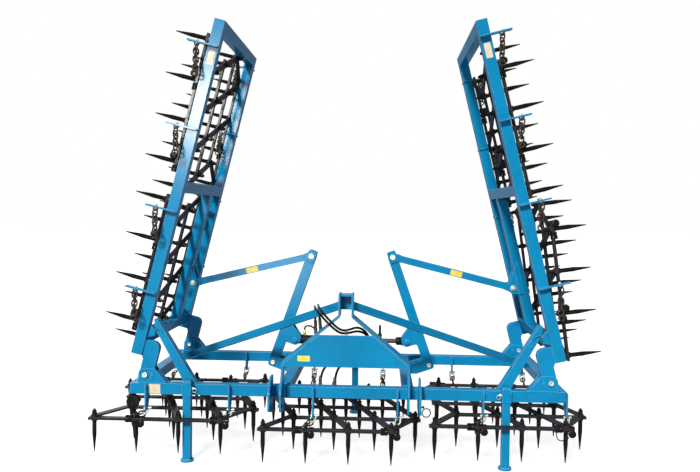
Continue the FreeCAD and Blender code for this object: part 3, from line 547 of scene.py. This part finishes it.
def studio():
    """A white room: light from the front left and from behind, a soft fill and a pale floor."""
    world = bpy.data.worlds.new("studio")
    scene.world = world
    world.use_nodes = True
    world.node_tree.nodes.clear()
    sky = Nodes(world.node_tree)
    dim = sky.add("ShaderNodeBackground", {"Color": (0.80, 0.90, 1), "Strength": 0.17})
    white = sky.add("ShaderNodeBackground", {"Color": (1, 1, 1), "Strength": 1})
    blend = sky.add("ShaderNodeMixShader", {0: sky.white_rays(), 1: dim.outputs[0],
                                            2: white.outputs[0]})
    sky.add("ShaderNodeOutputWorld", {"Surface": blend.outputs[0]})
    for name, direction, energy, width, colour in (     # width is an angle in degrees
            ("sun", (0.22, 0.78, -0.60), 3.6, 10, (1, 0.97, 0.92)),
            ("back", (0.45, -0.80, -0.40), 1.3, 30, (0.94, 0.97, 1))):
        light(name, "SUN", Vector(direction), energy, colour).data.angle = math.radians(width)
    lamp("fill", (5, -6, 4), (0, 0, 1), (5, 5), 40, (0.92, 0.96, 1))
    lamp("glare", (-1.97, -4.7, 2.90), (-0.86, 0, 2.3), (0.8, 1.0), 620, (1, 0.96, 0.88),
         shine_only=True)
    lamp("gleam", (-1.3, -4.7, 0.80), (-0.45, 0.75, 1.2), (1.5, 0.6), 80, shine_only=True)

    bm = bmesh.new()
    bmesh.ops.create_grid(bm, x_segments=2, y_segments=2, size=60)
    mesh = bpy.data.meshes.new("floor")
    bm.to_mesh(mesh)
    bm.free()
    floor = put("floor", mesh)
    look = Look("floor_white")
    tone = look.mix(look.noise(1.5), (0.30, 0.30, 0.30), (0.32, 0.32, 0.32))
    look.feed(look.shader, {"Emission Color": (1, 1, 1),
                            "Emission Strength": look.maths("MULTIPLY", look.white_rays(), 0.82)})
    mesh.materials.append(look.finish(tone, 0.9))
    floor.location.z = -0.001


camera()
studio()

# ---- hoses

HOSE_SIZE = 0.015
TIE_POINT = (0, -0.111, 0.856)

# Length and route of each hose: up from its block, over the front plate's top edge and over the
# left brace, and down behind it.
HOSES = (
    (1.333, ((-0.075, 0.058, 0.468), (-0.075, 0.058, 0.610), (0.060, 0.050, 0.640),
             (0.165, 0.020, 0.690), (0.175, -0.025, 0.790), (0.095, -0.070, 0.868),
             (0.000, -0.111, 0.847), (-0.050, -0.136, 0.862), (-0.125, -0.139, 0.932),
             (-0.190, -0.020, 0.980), (-0.213, 0.070, 0.992), (-0.220, 0.160, 0.984),
             (-0.222, 0.215, 0.935), (-0.220, 0.225, 0.850))),
    (1.395, ((-0.172, 0.086, 0.468), (-0.172, 0.086, 0.610), (0.015, 0.086, 0.652),
             (0.160, 0.045, 0.720), (0.150, -0.015, 0.820), (0.085, -0.070, 0.892),
             (0.000, -0.111, 0.865), (-0.045, -0.138, 0.882), (-0.113, -0.141, 0.948),
             (-0.175, -0.022, 0.996), (-0.190, 0.066, 1.004), (-0.196, 0.152, 0.995),
             (-0.196, 0.205, 0.950), (-0.188, 0.214, 0.866))),
)


def hose(k, route, plug):
    """A hose along its route, as a smooth curve."""
    name = f"hose_{k}_rubber"
    data = bpy.data.curves.new(name, "CURVE")
    data.dimensions = "3D"
    line = data.splines.new("NURBS")
    line.points.add(len(route) - 1)
    for point, place in zip(line.points, route):
        point.co = (*at(*place), 1)
    line.order_u = 3
    line.use_endpoint_u = True
    line.resolution_u = 12
    data.bevel_depth = HOSE_SIZE / 2
    data.bevel_resolution = 5
    data.use_fill_caps = True
    data.materials.append(RUBBER)
    made = put(name, data)
    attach(made, "frame")
    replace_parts(made, f"hose_{k}")


def hose_plug(k, route):
    """Quick coupler at the end of a hose: crimped sleeve, hexagon and nipple with a groove."""
    last, end = at(*route[-2]), at(*route[-1])
    place = aim(end, end - last)
    bm = bmesh.new()
    lathe(bm, [(0.0085, -0.030), (0.0115, -0.028), (0.0115, -0.022), (0.0108, -0.019),
               (0.0115, -0.016), (0.0108, -0.013), (0.0115, -0.010), (0.0115, 0.002),
               (0.009, 0.003), (0.009, 0.006)], place)
    prism(bm, hexagon(0.022), 0.005, 0.019, place)
    lathe(bm, [(0.0095, 0.018), (0.0095, 0.024), (0.0127, 0.026), (0.0127, 0.036), (0.011, 0.039),
               (0.011, 0.043), (0.0125, 0.045), (0.0125, 0.056), (0.0105, 0.061), (0.006, 0.062),
               (0.005, 0.0555)], place)
    made = piece(f"coupler_{k}", bm, "frame", PLUG, 0.0005)
    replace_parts(made, "hose_plugs")
    return made


def hose_fitting(k, route):
    """Crimped ferrule and nut where a hose stands on its block."""
    place = aim(at(*route[0]), Z_WAY)
    bm = bmesh.new()
    prism(bm, hexagon(0.024), -0.001, 0.013, place)
    lathe(bm, [(0.0115, 0.012), (0.0115, 0.026), (0.0108, 0.029), (0.0115, 0.032),
               (0.0108, 0.035), (0.0115, 0.038), (0.0112, 0.046), (0.0088, 0.060),
               (0.0078, 0.066)], place)
    piece(f"hose_fitting_{k}", bm, "frame", PLUG, 0.0005)


def hose_tie():
    """Two turns of green wire round both hoses, with their twisted end."""
    bm = bmesh.new()
    middle, turn, wire = at(*TIE_POINT), oval(0.042, 0.023), 0.0028
    tube(bm, [middle + Vector((0, y, z)) for y, z in turn], wire, 8, closed=True)
    second = [middle + Vector((0.010, y * 1.02, z * 1.03)) for y, z in turn]
    tube(bm, second, wire, 8, closed=True)
    lathe(bm, [(0.004, 0), (0.007, 0.002), (0.007, 0.008), (0.003, 0.011)],
          aim(middle + Vector((0.005, -0.016, 0.014)), Vector((0, -0.5, 1))), 10)
    piece("hose_tie", bm, "frame", GREEN)


for number, (real_length, corners) in enumerate(HOSES, start=1):
    hose(number, corners, hose_plug(number, corners))
    hose_fitting(number, corners)
hose_tie()

# ---- sections

FRAME_SECTIONS = [(f"section_{name}", "frame") for name in ("left", "middle", "right")]
WING_SECTIONS = [(f"wing_{side}_{reach}", f"wing_{side}_{reach}_section")
                 for side in SIDES.values() for reach in ("inner", "outer")]
BAR_THICK, RAIL_THICK = 0.016, 0.012
HEAD_REACH = 0.02   # how far from a tine's end a point still belongs to that end
NUT_REACH = 0.021   # how far out from a tine's axis a rail is looked for


def tine_heads(node):
    """Top of each tine with the way up along it and the direction of one of its corners."""
    heads = []
    for points in islands(node):
        outmost = [(max((p - end for p in points if (p - end).length < HEAD_REACH),
                        key=lambda way: way.length), end) for end in ends(points, 0.06)]
        (corner, head), (_, tip) = sorted(outmost, key=lambda pair: -pair[0].length)
        heads.append((head, (head - tip).normalized(), corner))
    return heads


def over_rail(rails, head, up):
    """True where a rail's end or middle lies on the bar over this tine."""
    above = 0.06
    place = aim(head + up * above, up)
    for start in lay(place, circle(NUT_REACH, 8)):
        hit = rails.ray_cast(start, -up, above)[0]
        if hit is not None and (hit - head).dot(up) > BAR_THICK + RAIL_THICK / 2:
            return True
    return False


def hex_nut(bm, place, flats, low, high):
    """A chamfered nut between two heights over a place."""
    radius = flats / math.sqrt(3)
    lathe(bm, [(radius * 0.88, low), (radius, low + 0.0018), (radius, high - 0.0018),
               (radius * 0.88, high)], place, 6)


def section_fixings(name, body, seed):
    """Collar under each tine's bar, and washer, nut, lock nut and stud end above it."""
    chance = random.Random(seed)
    mesh = NODES[f"{name}_rails"].data
    rails = BVHTree.FromPolygons([v.co for v in mesh.vertices], [p.vertices for p in mesh.polygons])
    nuts, knees = bmesh.new(), bmesh.new()
    for head, up, corner in tine_heads(f"{name}_tines"):
        seat = BAR_THICK
        if over_rail(rails, head, up):
            lathe(knees, [(0.0214, 0), (0.0224, 0.001), (0.0224, 0.0115), (0.0214, 0.0125)],
                  aim(head + up * BAR_THICK, up), 22)
            seat += RAIL_THICK + 0.0005
        collar = aim(head, up, corner)
        lathe(nuts, [(0.017, -0.012), (0.0195, -0.010), (0.0195, 0)], collar, 4)
        place = aim(head + up * seat, up) @ Matrix.Rotation(chance.uniform(0, 1), 4, "Z")
        lathe(nuts, [(0.0165, 0), (0.017, 0.001), (0.017, 0.0028), (0.0165, 0.0034)], place, 18)
        hex_nut(nuts, place, 0.027, 0.0034, 0.0180)
        lock_nut = place @ Matrix.Rotation(chance.uniform(0, 1), 4, "Z")
        hex_nut(nuts, lock_nut, 0.026, 0.0182, 0.0290)
        high = chance.uniform(0.036, 0.043)
        lathe(nuts, [(0.0085, 0.028), (0.0085, high - 0.0015), (0.007, high)], place, 12)
    piece(f"{name}_nuts", nuts, body, NUTS)
    piece(f"{name}_knees", knees, body, BLACK)


for number, (section, carrier) in enumerate(FRAME_SECTIONS + WING_SECTIONS):
    section_fixings(section, carrier, number)

# ---- chains

CHAIN_WIRE = 0.0105
RING_DROP = 0.138   # drop of a wing section's bars, where its chains end
# Each row of chains: its name, the way out of the frame, y of the hangers' holes and of the bars.
CHAIN_ROWS = (("front", -Y_WAY, FRONT - 0.020, -0.125), ("rear", Y_WAY, REAR + 0.020, 0.975))
NUTS_OF_HANGER = ((1, 0.013), (-1, 0.012))      # side and height of each nut


def ring(bm, centre, across, radius, wire, sides=18):
    """A ring about the direction across."""
    tube(bm, lay(aim(centre, across), circle(radius, sides)), wire / 2, 8, closed=True)


def shackle(bm, hole, across, down):
    """A bow shackle: bolt through the hole, legs on both sides and the bow below."""
    gap, drop = 0.015, 0.046
    bow = [hole + across * (gap * math.cos(a) * (1 + 0.35 * math.sin(a)))
           + down * (drop * (0.45 + 0.55 * math.sin(a)))
           for a in (math.pi * k / 12 for k in range(13))]
    path = [hole + across * gap - down * 0.004, *bow, hole - across * gap - down * 0.004]
    tube(bm, path, 0.0055, 9)
    for sign in (-1, 1):
        lathe(bm, [(0.0065, -0.005), (0.0085, -0.004), (0.0085, 0.004), (0.0065, 0.005)],
              aim(hole + across * gap * sign, across), 12)
    lathe(bm, [(0.0045, -gap - 0.009), (0.0045, gap + 0.009)], aim(hole, across), 10)
    hex_nut(bm, aim(hole, across), 0.014, gap + 0.004, gap + 0.011)


def bar_clamp(bm, tine, along, up, ahead):
    """Sleeve, eye and round stop that hold a chain's ring on a crossbar beside a tine."""
    place = aim(tine, along, up)
    lathe(bm, [(0.020, -0.068), (0.0235, -0.066), (0.0235, -0.046), (0.022, -0.044),
               (0.022, -0.040), (0.0235, -0.038), (0.0235, -0.024), (0.020, -0.022)], place, 14)
    lathe(bm, [(0.018, -0.008), (0.024, -0.006), (0.024, 0.004), (0.019, 0.008), (0.008, 0.009)],
          aim(tine + along * 0.034 + ahead * 0.024 - up * 0.024, ahead), 20)
    lathe(bm, [(0.016, 0.020), (0.019, 0.022), (0.019, 0.050), (0.016, 0.052)], place, 14)


def frame_chains():
    """Chains between the frame's hangers and the three sections under it."""
    links, bows, clamps = bmesh.new(), bmesh.new(), bmesh.new()
    heads = [head for name, _ in FRAME_SECTIONS for head, _, _ in tine_heads(f"{name}_tines")]
    for points in islands("chains"):
        low, high = sorted(ends(points, 0.02), key=lambda p: p.z)
        fall = ((low - high).normalized() - Z_WAY).normalized()
        hole = high + Z_WAY * 0.018
        shackle(bows, hole, X_WAY, fall)
        start = hole + fall * 0.042
        ring(links, low + Z_WAY * 0.014, X_WAY, 0.015, 0.010)
        if (start - low).length > 0.035:
            chain_links(links, start, low + Z_WAY * 0.022, 0.4)
        near = min(heads, key=lambda p: (p - low).length)
        ahead = -Y_WAY if low.y < at(0, DEPTH / 2, 0).y else Y_WAY
        bar_clamp(clamps, near + Z_WAY * BAR_THICK / 2, X_WAY, Z_WAY, ahead)
    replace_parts(piece("frame_chain_links", links, "frame", CHAIN), "chains")
    piece("frame_shackles", bows, "frame", SHACKLE)
    piece("frame_chain_clamps", clamps, "frame", NUTS)


def wing_chains(side, inwards):
    """Chains from a wing's hangers to its two sections, hanging straight down as it is folded.

    inwards says how far in from its hole each chain's lower end lies.
    """
    wing = f"wing_{SIDES[side]}"
    outward = OUTWARD[side]
    bolts = bmesh.new()
    clamps = {reach: bmesh.new() for reach in ("inner", "outer")}
    heads = {reach: tine_heads(f"{wing}_{reach}_tines") for reach in clamps}
    for (end, ahead, hole_y, bar_y), first in zip(CHAIN_ROWS, HANGER_FROM[side]):
        for k, shift in enumerate(inwards):
            reach = "inner" if k < 2 else "outer"
            along = first + k * HANGER_PITCH
            hole = on_wing(side, along, hole_y, HANGER_HOLE)
            low = on_wing(side, along - shift, bar_y, RING_DROP)
            bm = bmesh.new()
            ring(bm, hole - outward * 0.010, Y_WAY, 0.015, 0.008)
            chain_links(bm, hole - outward * 0.024, low + outward * 0.018, 0.3 * k)
            ring(bm, low, Y_WAY, 0.017, 0.009)
            made = piece(f"{wing}_{end}_chain_{k}", bm, None, CHAIN)
            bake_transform(made)
            for sign, high in NUTS_OF_HANGER:
                hex_nut(bolts, aim(hole, sign * outward), 0.019, 0.004, high)
            lathe(bolts, [(0.006, 0.012), (0.006, 0.017), (0.0045, 0.0185)],
                  aim(hole, outward), 10)
            head, up, _ = min(heads[reach], key=lambda item: (item[0] - low).length)
            bar_clamp(clamps[reach], head + up * BAR_THICK / 2, outward, up, ahead)
    piece(f"{wing}_hanger_bolts", bolts, wing, SHACKLE)
    for reach, bm in clamps.items():
        piece(f"{wing}_{reach}_chain_clamps", bm, f"{wing}_{reach}_section", NUTS)


frame_chains()
wing_chains(LEFT, (0.171, 0.171, 0.171, 0.201))
wing_chains(RIGHT, (0.191, 0.159, 0.175, 0.201))

# ---- pins


def pin_head(bm, centre, direction, radius, high=0.0125):
    """End of a turned pin, chamfered, with a centre mark."""
    lathe(bm, [(radius + 0.001, 0), (radius + 0.001, high - 0.003), (radius - 0.0015, high),
               (radius * 0.3, high), (radius * 0.12, high - 0.002)], aim(centre, direction), 32)


def through_bolt(bm, centre, washer, thick, flats):
    """Washers and nuts on the outer faces of a pair of plates; washer is its radius."""
    for way in FACES:
        place = aim(centre + way * LEVER_FACE, way)
        lathe(bm, [(washer - 0.0015, 0), (washer, 0.001), (washer, thick - 0.001),
                   (washer - 0.0015, thick)], place, 24)
        hex_nut(bm, place, flats, thick, 0.0145)


PIN_LOOKS = {LEFT: ZINC, RIGHT: STEEL}
SHANK = [(0.0148, -0.046), (0.0148, 0.046)]


def hinge_pins():
    """Heads of the hinge pins on both faces of the ears, and the keepers beside them."""
    keepers = bmesh.new()
    for side, word in SIDES.items():
        heads = bmesh.new()
        for y, radius in ((0, 0.0168), (DEPTH, 0.0150)):
            for way in FACES:
                centre = beside(side, HINGE_X, y, HINGE_Z) + way * EAR_FACE
                pin_head(heads, centre, way, radius)
                centre += Vector((-side * 0.047, 0, -0.004))
                prism(keepers, rounded_box(0.018, 0.044, 0.009), 0, 0.006,
                      aim(centre, way, X_WAY))
                lathe(keepers, [(0.006, 0.005), (0.006, 0.009), (0.004, 0.010)],
                      aim(centre, way), 12)
        piece(f"hinge_pin_heads_{word}", heads, "frame", PIN_LOOKS[side])
    piece("hinge_pin_keepers", keepers, "frame", BLUE, 0.001)


def lever_pins():
    """Heads of the pins in the levers and the brackets that carry them, with their keepers."""
    for side, word in SIDES.items():
        name = f"lever_{word}"
        heads, plates, bolts, pivots = (bmesh.new() for _ in range(4))
        pivot, top, lug = (beside(side, x, LINK_Y, z)
                           for x, z in (LEVER_PIVOT, LEVER_TOP, LEVER_LUG))
        for way in FACES:
            pin_head(pivots, pivot + way * BRACKET_FACE, way, 0.0155)
            outside = top + way * LEVER_FACE
            prism(plates, rounded_box(0.084, 0.066, 0.012), 0, 0.009,
                  aim(outside, way, top - pivot))
            pin_head(heads, outside, way, 0.0190, 0.0145)
        through_bolt(bolts, lug, 0.0235, 0.005, 0.030)
        if side == RIGHT:
            lathe(bolts, SHANK, aim(lug, Y_WAY))
        piece(f"{name}_pin_heads", heads, name, ZINC)
        piece(f"{name}_keepers", plates, name, BLUE, 0.0012)
        piece(f"{name}_lug_bolt", bolts, name, BLUE)
        piece(f"{name}_pivot_heads", pivots, "frame", PIN_LOOKS[side])


def link_bolts():
    """Bolts through the wings' ears, where the links pull."""
    for side, word in SIDES.items():
        bm = bmesh.new()
        centre = on_wing(side, WING_PIN[0], LINK_Y, WING_PIN[1])
        through_bolt(bm, centre, 0.0215, 0.0045, 0.031)
        lathe(bm, SHANK, aim(centre, Y_WAY))
        lathe(bm, [(0.008, -0.0625), (0.010, -0.0615), (0.010, -0.058)], aim(centre, Y_WAY), 16)
        piece(f"link_bolt_{word}", bm, f"wing_{word}", SHACKLE)


hinge_pins()
lever_pins()
link_bolts()

# ---- welds


def weld(bm, start, end, size):
    """A bead with the ripple of its passes."""
    run = end - start
    steps = max(4, round(run.length / 0.007))
    points = [start + run * (k / steps) for k in range(steps + 1)]
    radii = [size * (0.82 + 0.24 * (k % 2)) for k in range(steps + 1)]
    tube(bm, points, radii, 7)


def seams(bm, side, where, lines, size=0.0042):
    """Welds along lines on one side; where takes the side and three numbers to a point."""
    for start, end in lines:
        weld(bm, where(side, *start), where(side, *end), size)


def upright(x, y, low, high):
    """A line up a face, for seams."""
    return (x, y, low), (x, y, high)


def frame_welds():
    """Beads on the centre frame, the same on both sides."""
    bm = bmesh.new()
    face = FRONT - 0.001
    on_top = [((0.975, FRONT + 0.006), (0.975, 0.029)), ((1.033, FRONT + 0.006), (1.033, 0.029)),
              ((0.975, -0.0305), (1.030, -0.0305))]
    for y in (0, DEPTH):
        on_top += [((1.163, y + sign * EAR_FACE), (1.345, y + sign * EAR_FACE)) for sign in (-1, 1)]
    for y in (0.0365, DEPTH - 0.0365):
        on_top += [((0.366, y), (0.434, y)), ((1.331, y), (1.399, y))]
    lines = [((*start, TOP), (*end, TOP)) for start, end in on_top]
    lines += [upright(LEG_X + sign * SLEEVE_HALF, face, 0.430, 0.488) for sign in (-1, 1)]
    lines += [upright(x, face, WELD_LOW, 0.487) for x in HITCH_EDGES]
    lines += [upright(0.4355, y, WELD_LOW, WELD_HIGH) for y in (0.724, 0.836)]
    lines += [((0.393, MAST_FRONT + 0.006, 0.652), (0.224, MAST_FRONT - 0.001, 0.792)),
              ((0.0485, -0.030, 0.985), (0.0485, -0.026, 1.034))]
    arms = [((1.160, y + sign * ARM_FACE, TOP), (1.160, y, TOP))
            for y in (0, DEPTH) for sign in (-1, 1)]
    for side in SIDES:
        seams(bm, side, beside, lines)
        seams(bm, side, beside, arms, 0.005)
    piece("frame_welds", bm, "frame", BLUE)


def hanger_welds():
    """Beads on both edges of the frame's hangers."""
    bm = bmesh.new()
    for points in islands("hangers"):
        y = max(p.y for p in points if p.z > TOP - 0.01) - 0.001
        for x in (min(p.x for p in points), max(p.x for p in points)):
            weld(bm, Vector((x, y, WELD_LOW)), Vector((x, y, WELD_HIGH)), 0.0038)
    piece("hanger_welds", bm, "frame", BLUE)


def wing_welds(side):
    """Beads between a wing's tubes, and along its ears, arms and hangers."""
    bm = bmesh.new()
    half = TUBE / 2
    edges = [middle + sign * half for middle in WING_CROSS for sign in (-1, 1)] + [WING_END - TUBE]
    lines = [upright(along, y, WING_TOP + 0.003, WING_LOW - 0.003)
             for along in edges for y in (half + 0.001, DEPTH - half - 0.001)]
    on_top = [(0.475, 0.715, LINK_Y + sign * LEVER_FACE) for sign in (-1, 1)]
    on_top += [(WING_START + 0.002, 0.216, y + sign * ARM_FACE)
               for y in (0, DEPTH) for sign in (-1, 1)]
    lines += [((start, y, WING_TOP), (end, y, WING_TOP)) for start, end, y in on_top]
    seams(bm, side, on_wing, lines)
    for points in islands(f"wing_{SIDES[side]}_hangers"):
        local = [WING[side].inverted() @ p for p in points]
        alongs = [abs(p.x) for p in local]
        y = sum(p.y for p in local) / len(local)
        face = FRONT - 0.0008 if y < DEPTH / 2 else REAR + 0.0008
        seams(bm, side, on_wing, [upright(along, face, WING_TOP + 0.004, WING_LOW - 0.004)
                                  for along in (min(alongs), max(alongs))], 0.0038)
    piece(f"wing_{SIDES[side]}_welds", bm, f"wing_{SIDES[side]}", BLUE)


frame_welds()
hanger_welds()
for which in SIDES:
    wing_welds(which)

# ---- legs and locks


def leg_details():
    """Cap, foot rim and weld of each leg, and the bolt that holds it in its sleeve."""
    bolts = bmesh.new()
    for name in ("left", "right", "rear"):
        low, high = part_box(f"leg_{name}")
        middle = Vector(((low.x + high.x) / 2, (low.y + high.y) / 2, 0))
        foot = Matrix.Translation(middle)
        bm = bmesh.new()
        prism(bm, rounded_box(0.050, 0.050, 0.006), high.z, high.z + 0.003, foot)
        lathe(bm, [(0.036, 0.0118), (0.0405, 0.0135), (0.0418, 0.011), (0.0418, 0.002)], foot, 36)
        bead = lay(foot, rounded_box(0.052, 0.052, 0.004, 2), 0.014)
        tube(bm, bead, 0.004, 7, closed=True)
        piece(f"leg_{name}_foot_rim", bm, f"leg_{name}", BLUE, 0.0006)
        inward = -X_WAY if name == "right" else X_WAY
        face = middle + Z_WAY * LEG_BOLT_Z + inward * SLEEVE_HALF
        place = aim(face, inward)
        lathe(bolts, [(0.013, 0), (0.013, 0.003)], place, 18)
        hex_nut(bolts, place, 0.017, 0.003, 0.012)
        lathe(bolts, [(0.0055, 0.011), (0.0055, 0.020), (0.004, 0.0215)], place, 12)
        ring(bolts, face + inward * 0.016 - Z_WAY * 0.012, Y_WAY, 0.012, 0.003)
    piece("leg_bolts", bolts, "frame", STEEL)


def lock_details():
    """Slot with its pin near the tip of each lock bar, and the wire catch over the wing's lug."""
    slots, pins, catches = bmesh.new(), bmesh.new(), bmesh.new()
    lean = Vector((LOCK_TIP[0] - LOCK_FOOT[0], 0, LOCK_TIP[1] - LOCK_FOOT[1])).normalized()
    hook = ((1.181, -0.033, 0.812), (1.185, -0.039, 0.822), (1.201, -0.040, 0.842),
            (1.225, -0.039, 0.846), (1.239, -0.037, 0.832), (1.241, -0.029, 0.816))
    for side in SIDES:
        along = Vector((side * lean.x, 0, lean.z))
        for way in FACES:
            middle = beside(side, 1.172, 0, 0.795) + way * 0.030
            rim = lay(aim(middle, way, along), rounded_box(0.046, 0.019, 0.0094, 6))
            tube(slots, rim, 0.0024, 7, closed=True)
            lathe(pins, [(0.0065, -0.001), (0.0065, 0.004), (0.0045, 0.0055)],
                  aim(middle + along * 0.009, way), 16)
        tube(catches, [beside(side, *corner) for corner in hook], 0.0038, 9)
    piece("lock_slots", slots, "frame", BLUE)
    piece("lock_pins", pins, "frame", BLUE)
    piece("lock_catches", catches, "frame", BLUE)


leg_details()
lock_details()

# ---- cylinder


def on_cylinder(x, z=CYLINDER_Z):
    """A point in the upright plane through the cylinder's axis."""
    return at(x, LINK_Y, z)


def cylinder_fittings():
    """Brass elbow, rigid pipe over to the barrel's middle, and the bleed stub on the gland."""
    brass, pipes, collar, socket = (bmesh.new() for _ in range(4))
    foot = aim(on_cylinder(-0.350, CYLINDER_TOP), Z_WAY)
    hex_nut(brass, foot, 0.022, -0.003, 0.010)
    lathe(brass, [(0.008, 0.009), (0.008, 0.014), (0.0095, 0.015), (0.0095, 0.030),
                  (0.007, 0.036), (0.007, 0.040)], foot, 18)
    piece("cylinder_fitting", brass, "cylinder_barrel", BRASS)
    pipe = ((-0.350, 0.716), (-0.351, 0.735), (-0.343, 0.749), (-0.327, 0.755), (-0.305, 0.752),
            (-0.284, 0.741), (-0.268, 0.724), (-0.260, 0.703), (-0.258, 0.680))
    tube(pipes, [on_cylinder(x, z) for x, z in pipe], 0.0065, 14)
    hex_nut(pipes, aim(on_cylinder(-0.258, 0.682), Z_WAY), 0.021, -0.002, 0.012)
    stub = aim(on_cylinder(0.215, CYLINDER_TOP), Z_WAY)
    prism(pipes, rounded_box(0.036, 0.030, 0.004), 0, 0.016, stub)
    lathe(pipes, [(0.0115, 0.015), (0.0115, 0.026), (0.0090, 0.028), (0.0090, 0.080),
                  (0.0070, 0.084)], stub, 16)
    lathe(pipes, [(0.032, 0), (0.0345, 0.001), (0.0345, 0.012), (0.032, 0.013)],
          aim(on_cylinder(-0.375), X_WAY), 36)
    piece("cylinder_pipe", pipes, "cylinder_barrel", CYLINDER)
    lathe(collar, [(0.0365, 0), (0.0375, 0.001), (0.0375, 0.009), (0.0365, 0.010), (0.0365, 0.016),
                   (0.0375, 0.017), (0.0375, 0.024), (0.0185, 0.026)],
          aim(on_cylinder(0.2005), X_WAY), 36)
    piece("cylinder_gland_ring", collar, "cylinder_barrel", CYLINDER)
    lathe(socket, [(0.0180, 0), (0.0270, 0.003), (0.0300, 0.010), (0.0300, 0.050), (0.0275, 0.054),
                   (0.0180, 0.055)], aim(on_cylinder(0.333), X_WAY), 32)
    piece("rod_socket", socket, "cylinder_rod", CYLINDER)


cylinder_fittings()

# ---- small parts of the frame


def label(name, centre, along, width, height, look, body):
    """A blank film label with round corners, on a face that looks forwards."""
    bm = bmesh.new()
    prism(bm, rounded_box(width, height, 0.004), 0.0001, 0.0006, aim(centre, -Y_WAY, along))
    piece(name, bm, body, look)


LABEL_SHARES = {LEFT: 0.50, RIGHT: 0.53}      # where the links' labels sit along them


def labels():
    """Labels on the links, the wings, the front plate and the front beam's left end."""
    for side, word in SIDES.items():
        top = beside(side, LEVER_TOP[0], LINK_Y - LINK_FACE, LEVER_TOP[1])
        run = on_wing(side, WING_PIN[0], LINK_Y - LINK_FACE, WING_PIN[1]) - top
        label(f"link_label_{word}", top + run * LABEL_SHARES[side], run, 0.086, 0.040, YELLOW,
              f"link_{word}")
        label(f"wing_label_{word}", on_wing(side, 2.105 + side * 0.025, FRONT, 0.088),
              OUTWARD[side], 0.096, 0.042, BEIGE, f"wing_{word}")
    label("plate_label", at(-0.262, MAST_FRONT, 0.687), X_WAY, 0.078, 0.036, YELLOW, "frame")
    label("beam_label", at(-1.240, FRONT, 0.454), X_WAY, 0.080, 0.062, BEIGE, "frame")


def linch_ring():
    """Ring of the linch pin that hangs beside the right lower hitch plate."""
    bm = bmesh.new()
    stub = aim(at(0.477, -0.150, 0.404), X_WAY)
    lathe(bm, [(0.006, -0.001), (0.006, 0.014), (0.009, 0.015), (0.009, 0.019), (0.006, 0.020)],
          stub, 14)
    ring(bm, at(0.510, -0.152, 0.370), Vector((0.15, -1, 0)), 0.0265, 0.0068, 28)
    ring(bm, at(0.492, -0.150, 0.401), Vector((1, 0, 0.2)), 0.008, 0.003, 14)
    piece("linch_ring", bm, "frame", CHAIN)


def end_disc():
    """Round cap on a short stub that a strap holds under the left side tube."""
    bm = bmesh.new()
    lathe(bm, [(0.024, -0.080), (0.024, -0.004), (0.040, -0.003), (0.0425, 0), (0.0425, 0.008),
               (0.039, 0.011), (0.014, 0.012), (0.012, 0.010)],
          aim(at(-1.372, -0.052, 0.371), -Y_WAY), 40)
    prism(bm, rounded_box(0.050, 0.075, 0.006), 0.014, 0.020, aim(at(-1.372, 0, 0.385), -Y_WAY))
    piece("side_stop", bm, "frame", NUTS, 0.0008)


def wire_loop():
    """Pin on a wire loop at the right end of the right section's first bar."""
    bm = bmesh.new()
    path = [at(1.316, -0.146, 0.272), at(1.312, -0.153, 0.252), at(1.316, -0.156, 0.234),
            at(1.328, -0.156, 0.221), at(1.345, -0.156, 0.216), at(1.362, -0.155, 0.222),
            at(1.372, -0.154, 0.234)]
    tube(bm, path, 0.0032, 8)
    lathe(bm, [(0.004, -0.014), (0.009, -0.012), (0.0115, -0.004), (0.0115, 0.004), (0.009, 0.011),
               (0.004, 0.013)], aim(at(1.374, -0.154, 0.236), Vector((1, 0, 0.6))), 16)
    ring(bm, at(1.316, -0.150, 0.278), X_WAY, 0.009, 0.004, 14)
    piece("pin_loop", bm, "frame", NUTS)


def rear_strips(side):
    """Flats across the front faces of a wing's rear beam, in line with its hangers."""
    bm = bmesh.new()
    drop = (WING_TOP + WING_LOW) / 2
    for k in range(4):
        middle = on_wing(side, HANGER_FROM[side][1] + k * HANGER_PITCH, DEPTH - TUBE / 2, drop)
        place = aim(middle, -Y_WAY, WING[side].to_3x3() @ -Z_WAY)
        prism(bm, rounded_box(0.078, 0.010, 0.003), 0, 0.012, place)
    piece(f"wing_{SIDES[side]}_rear_strips", bm, f"wing_{SIDES[side]}", BLUE, 0.0008)


labels()
linch_ring()
end_disc()
wire_loop()
for which in SIDES:
    rear_strips(which)
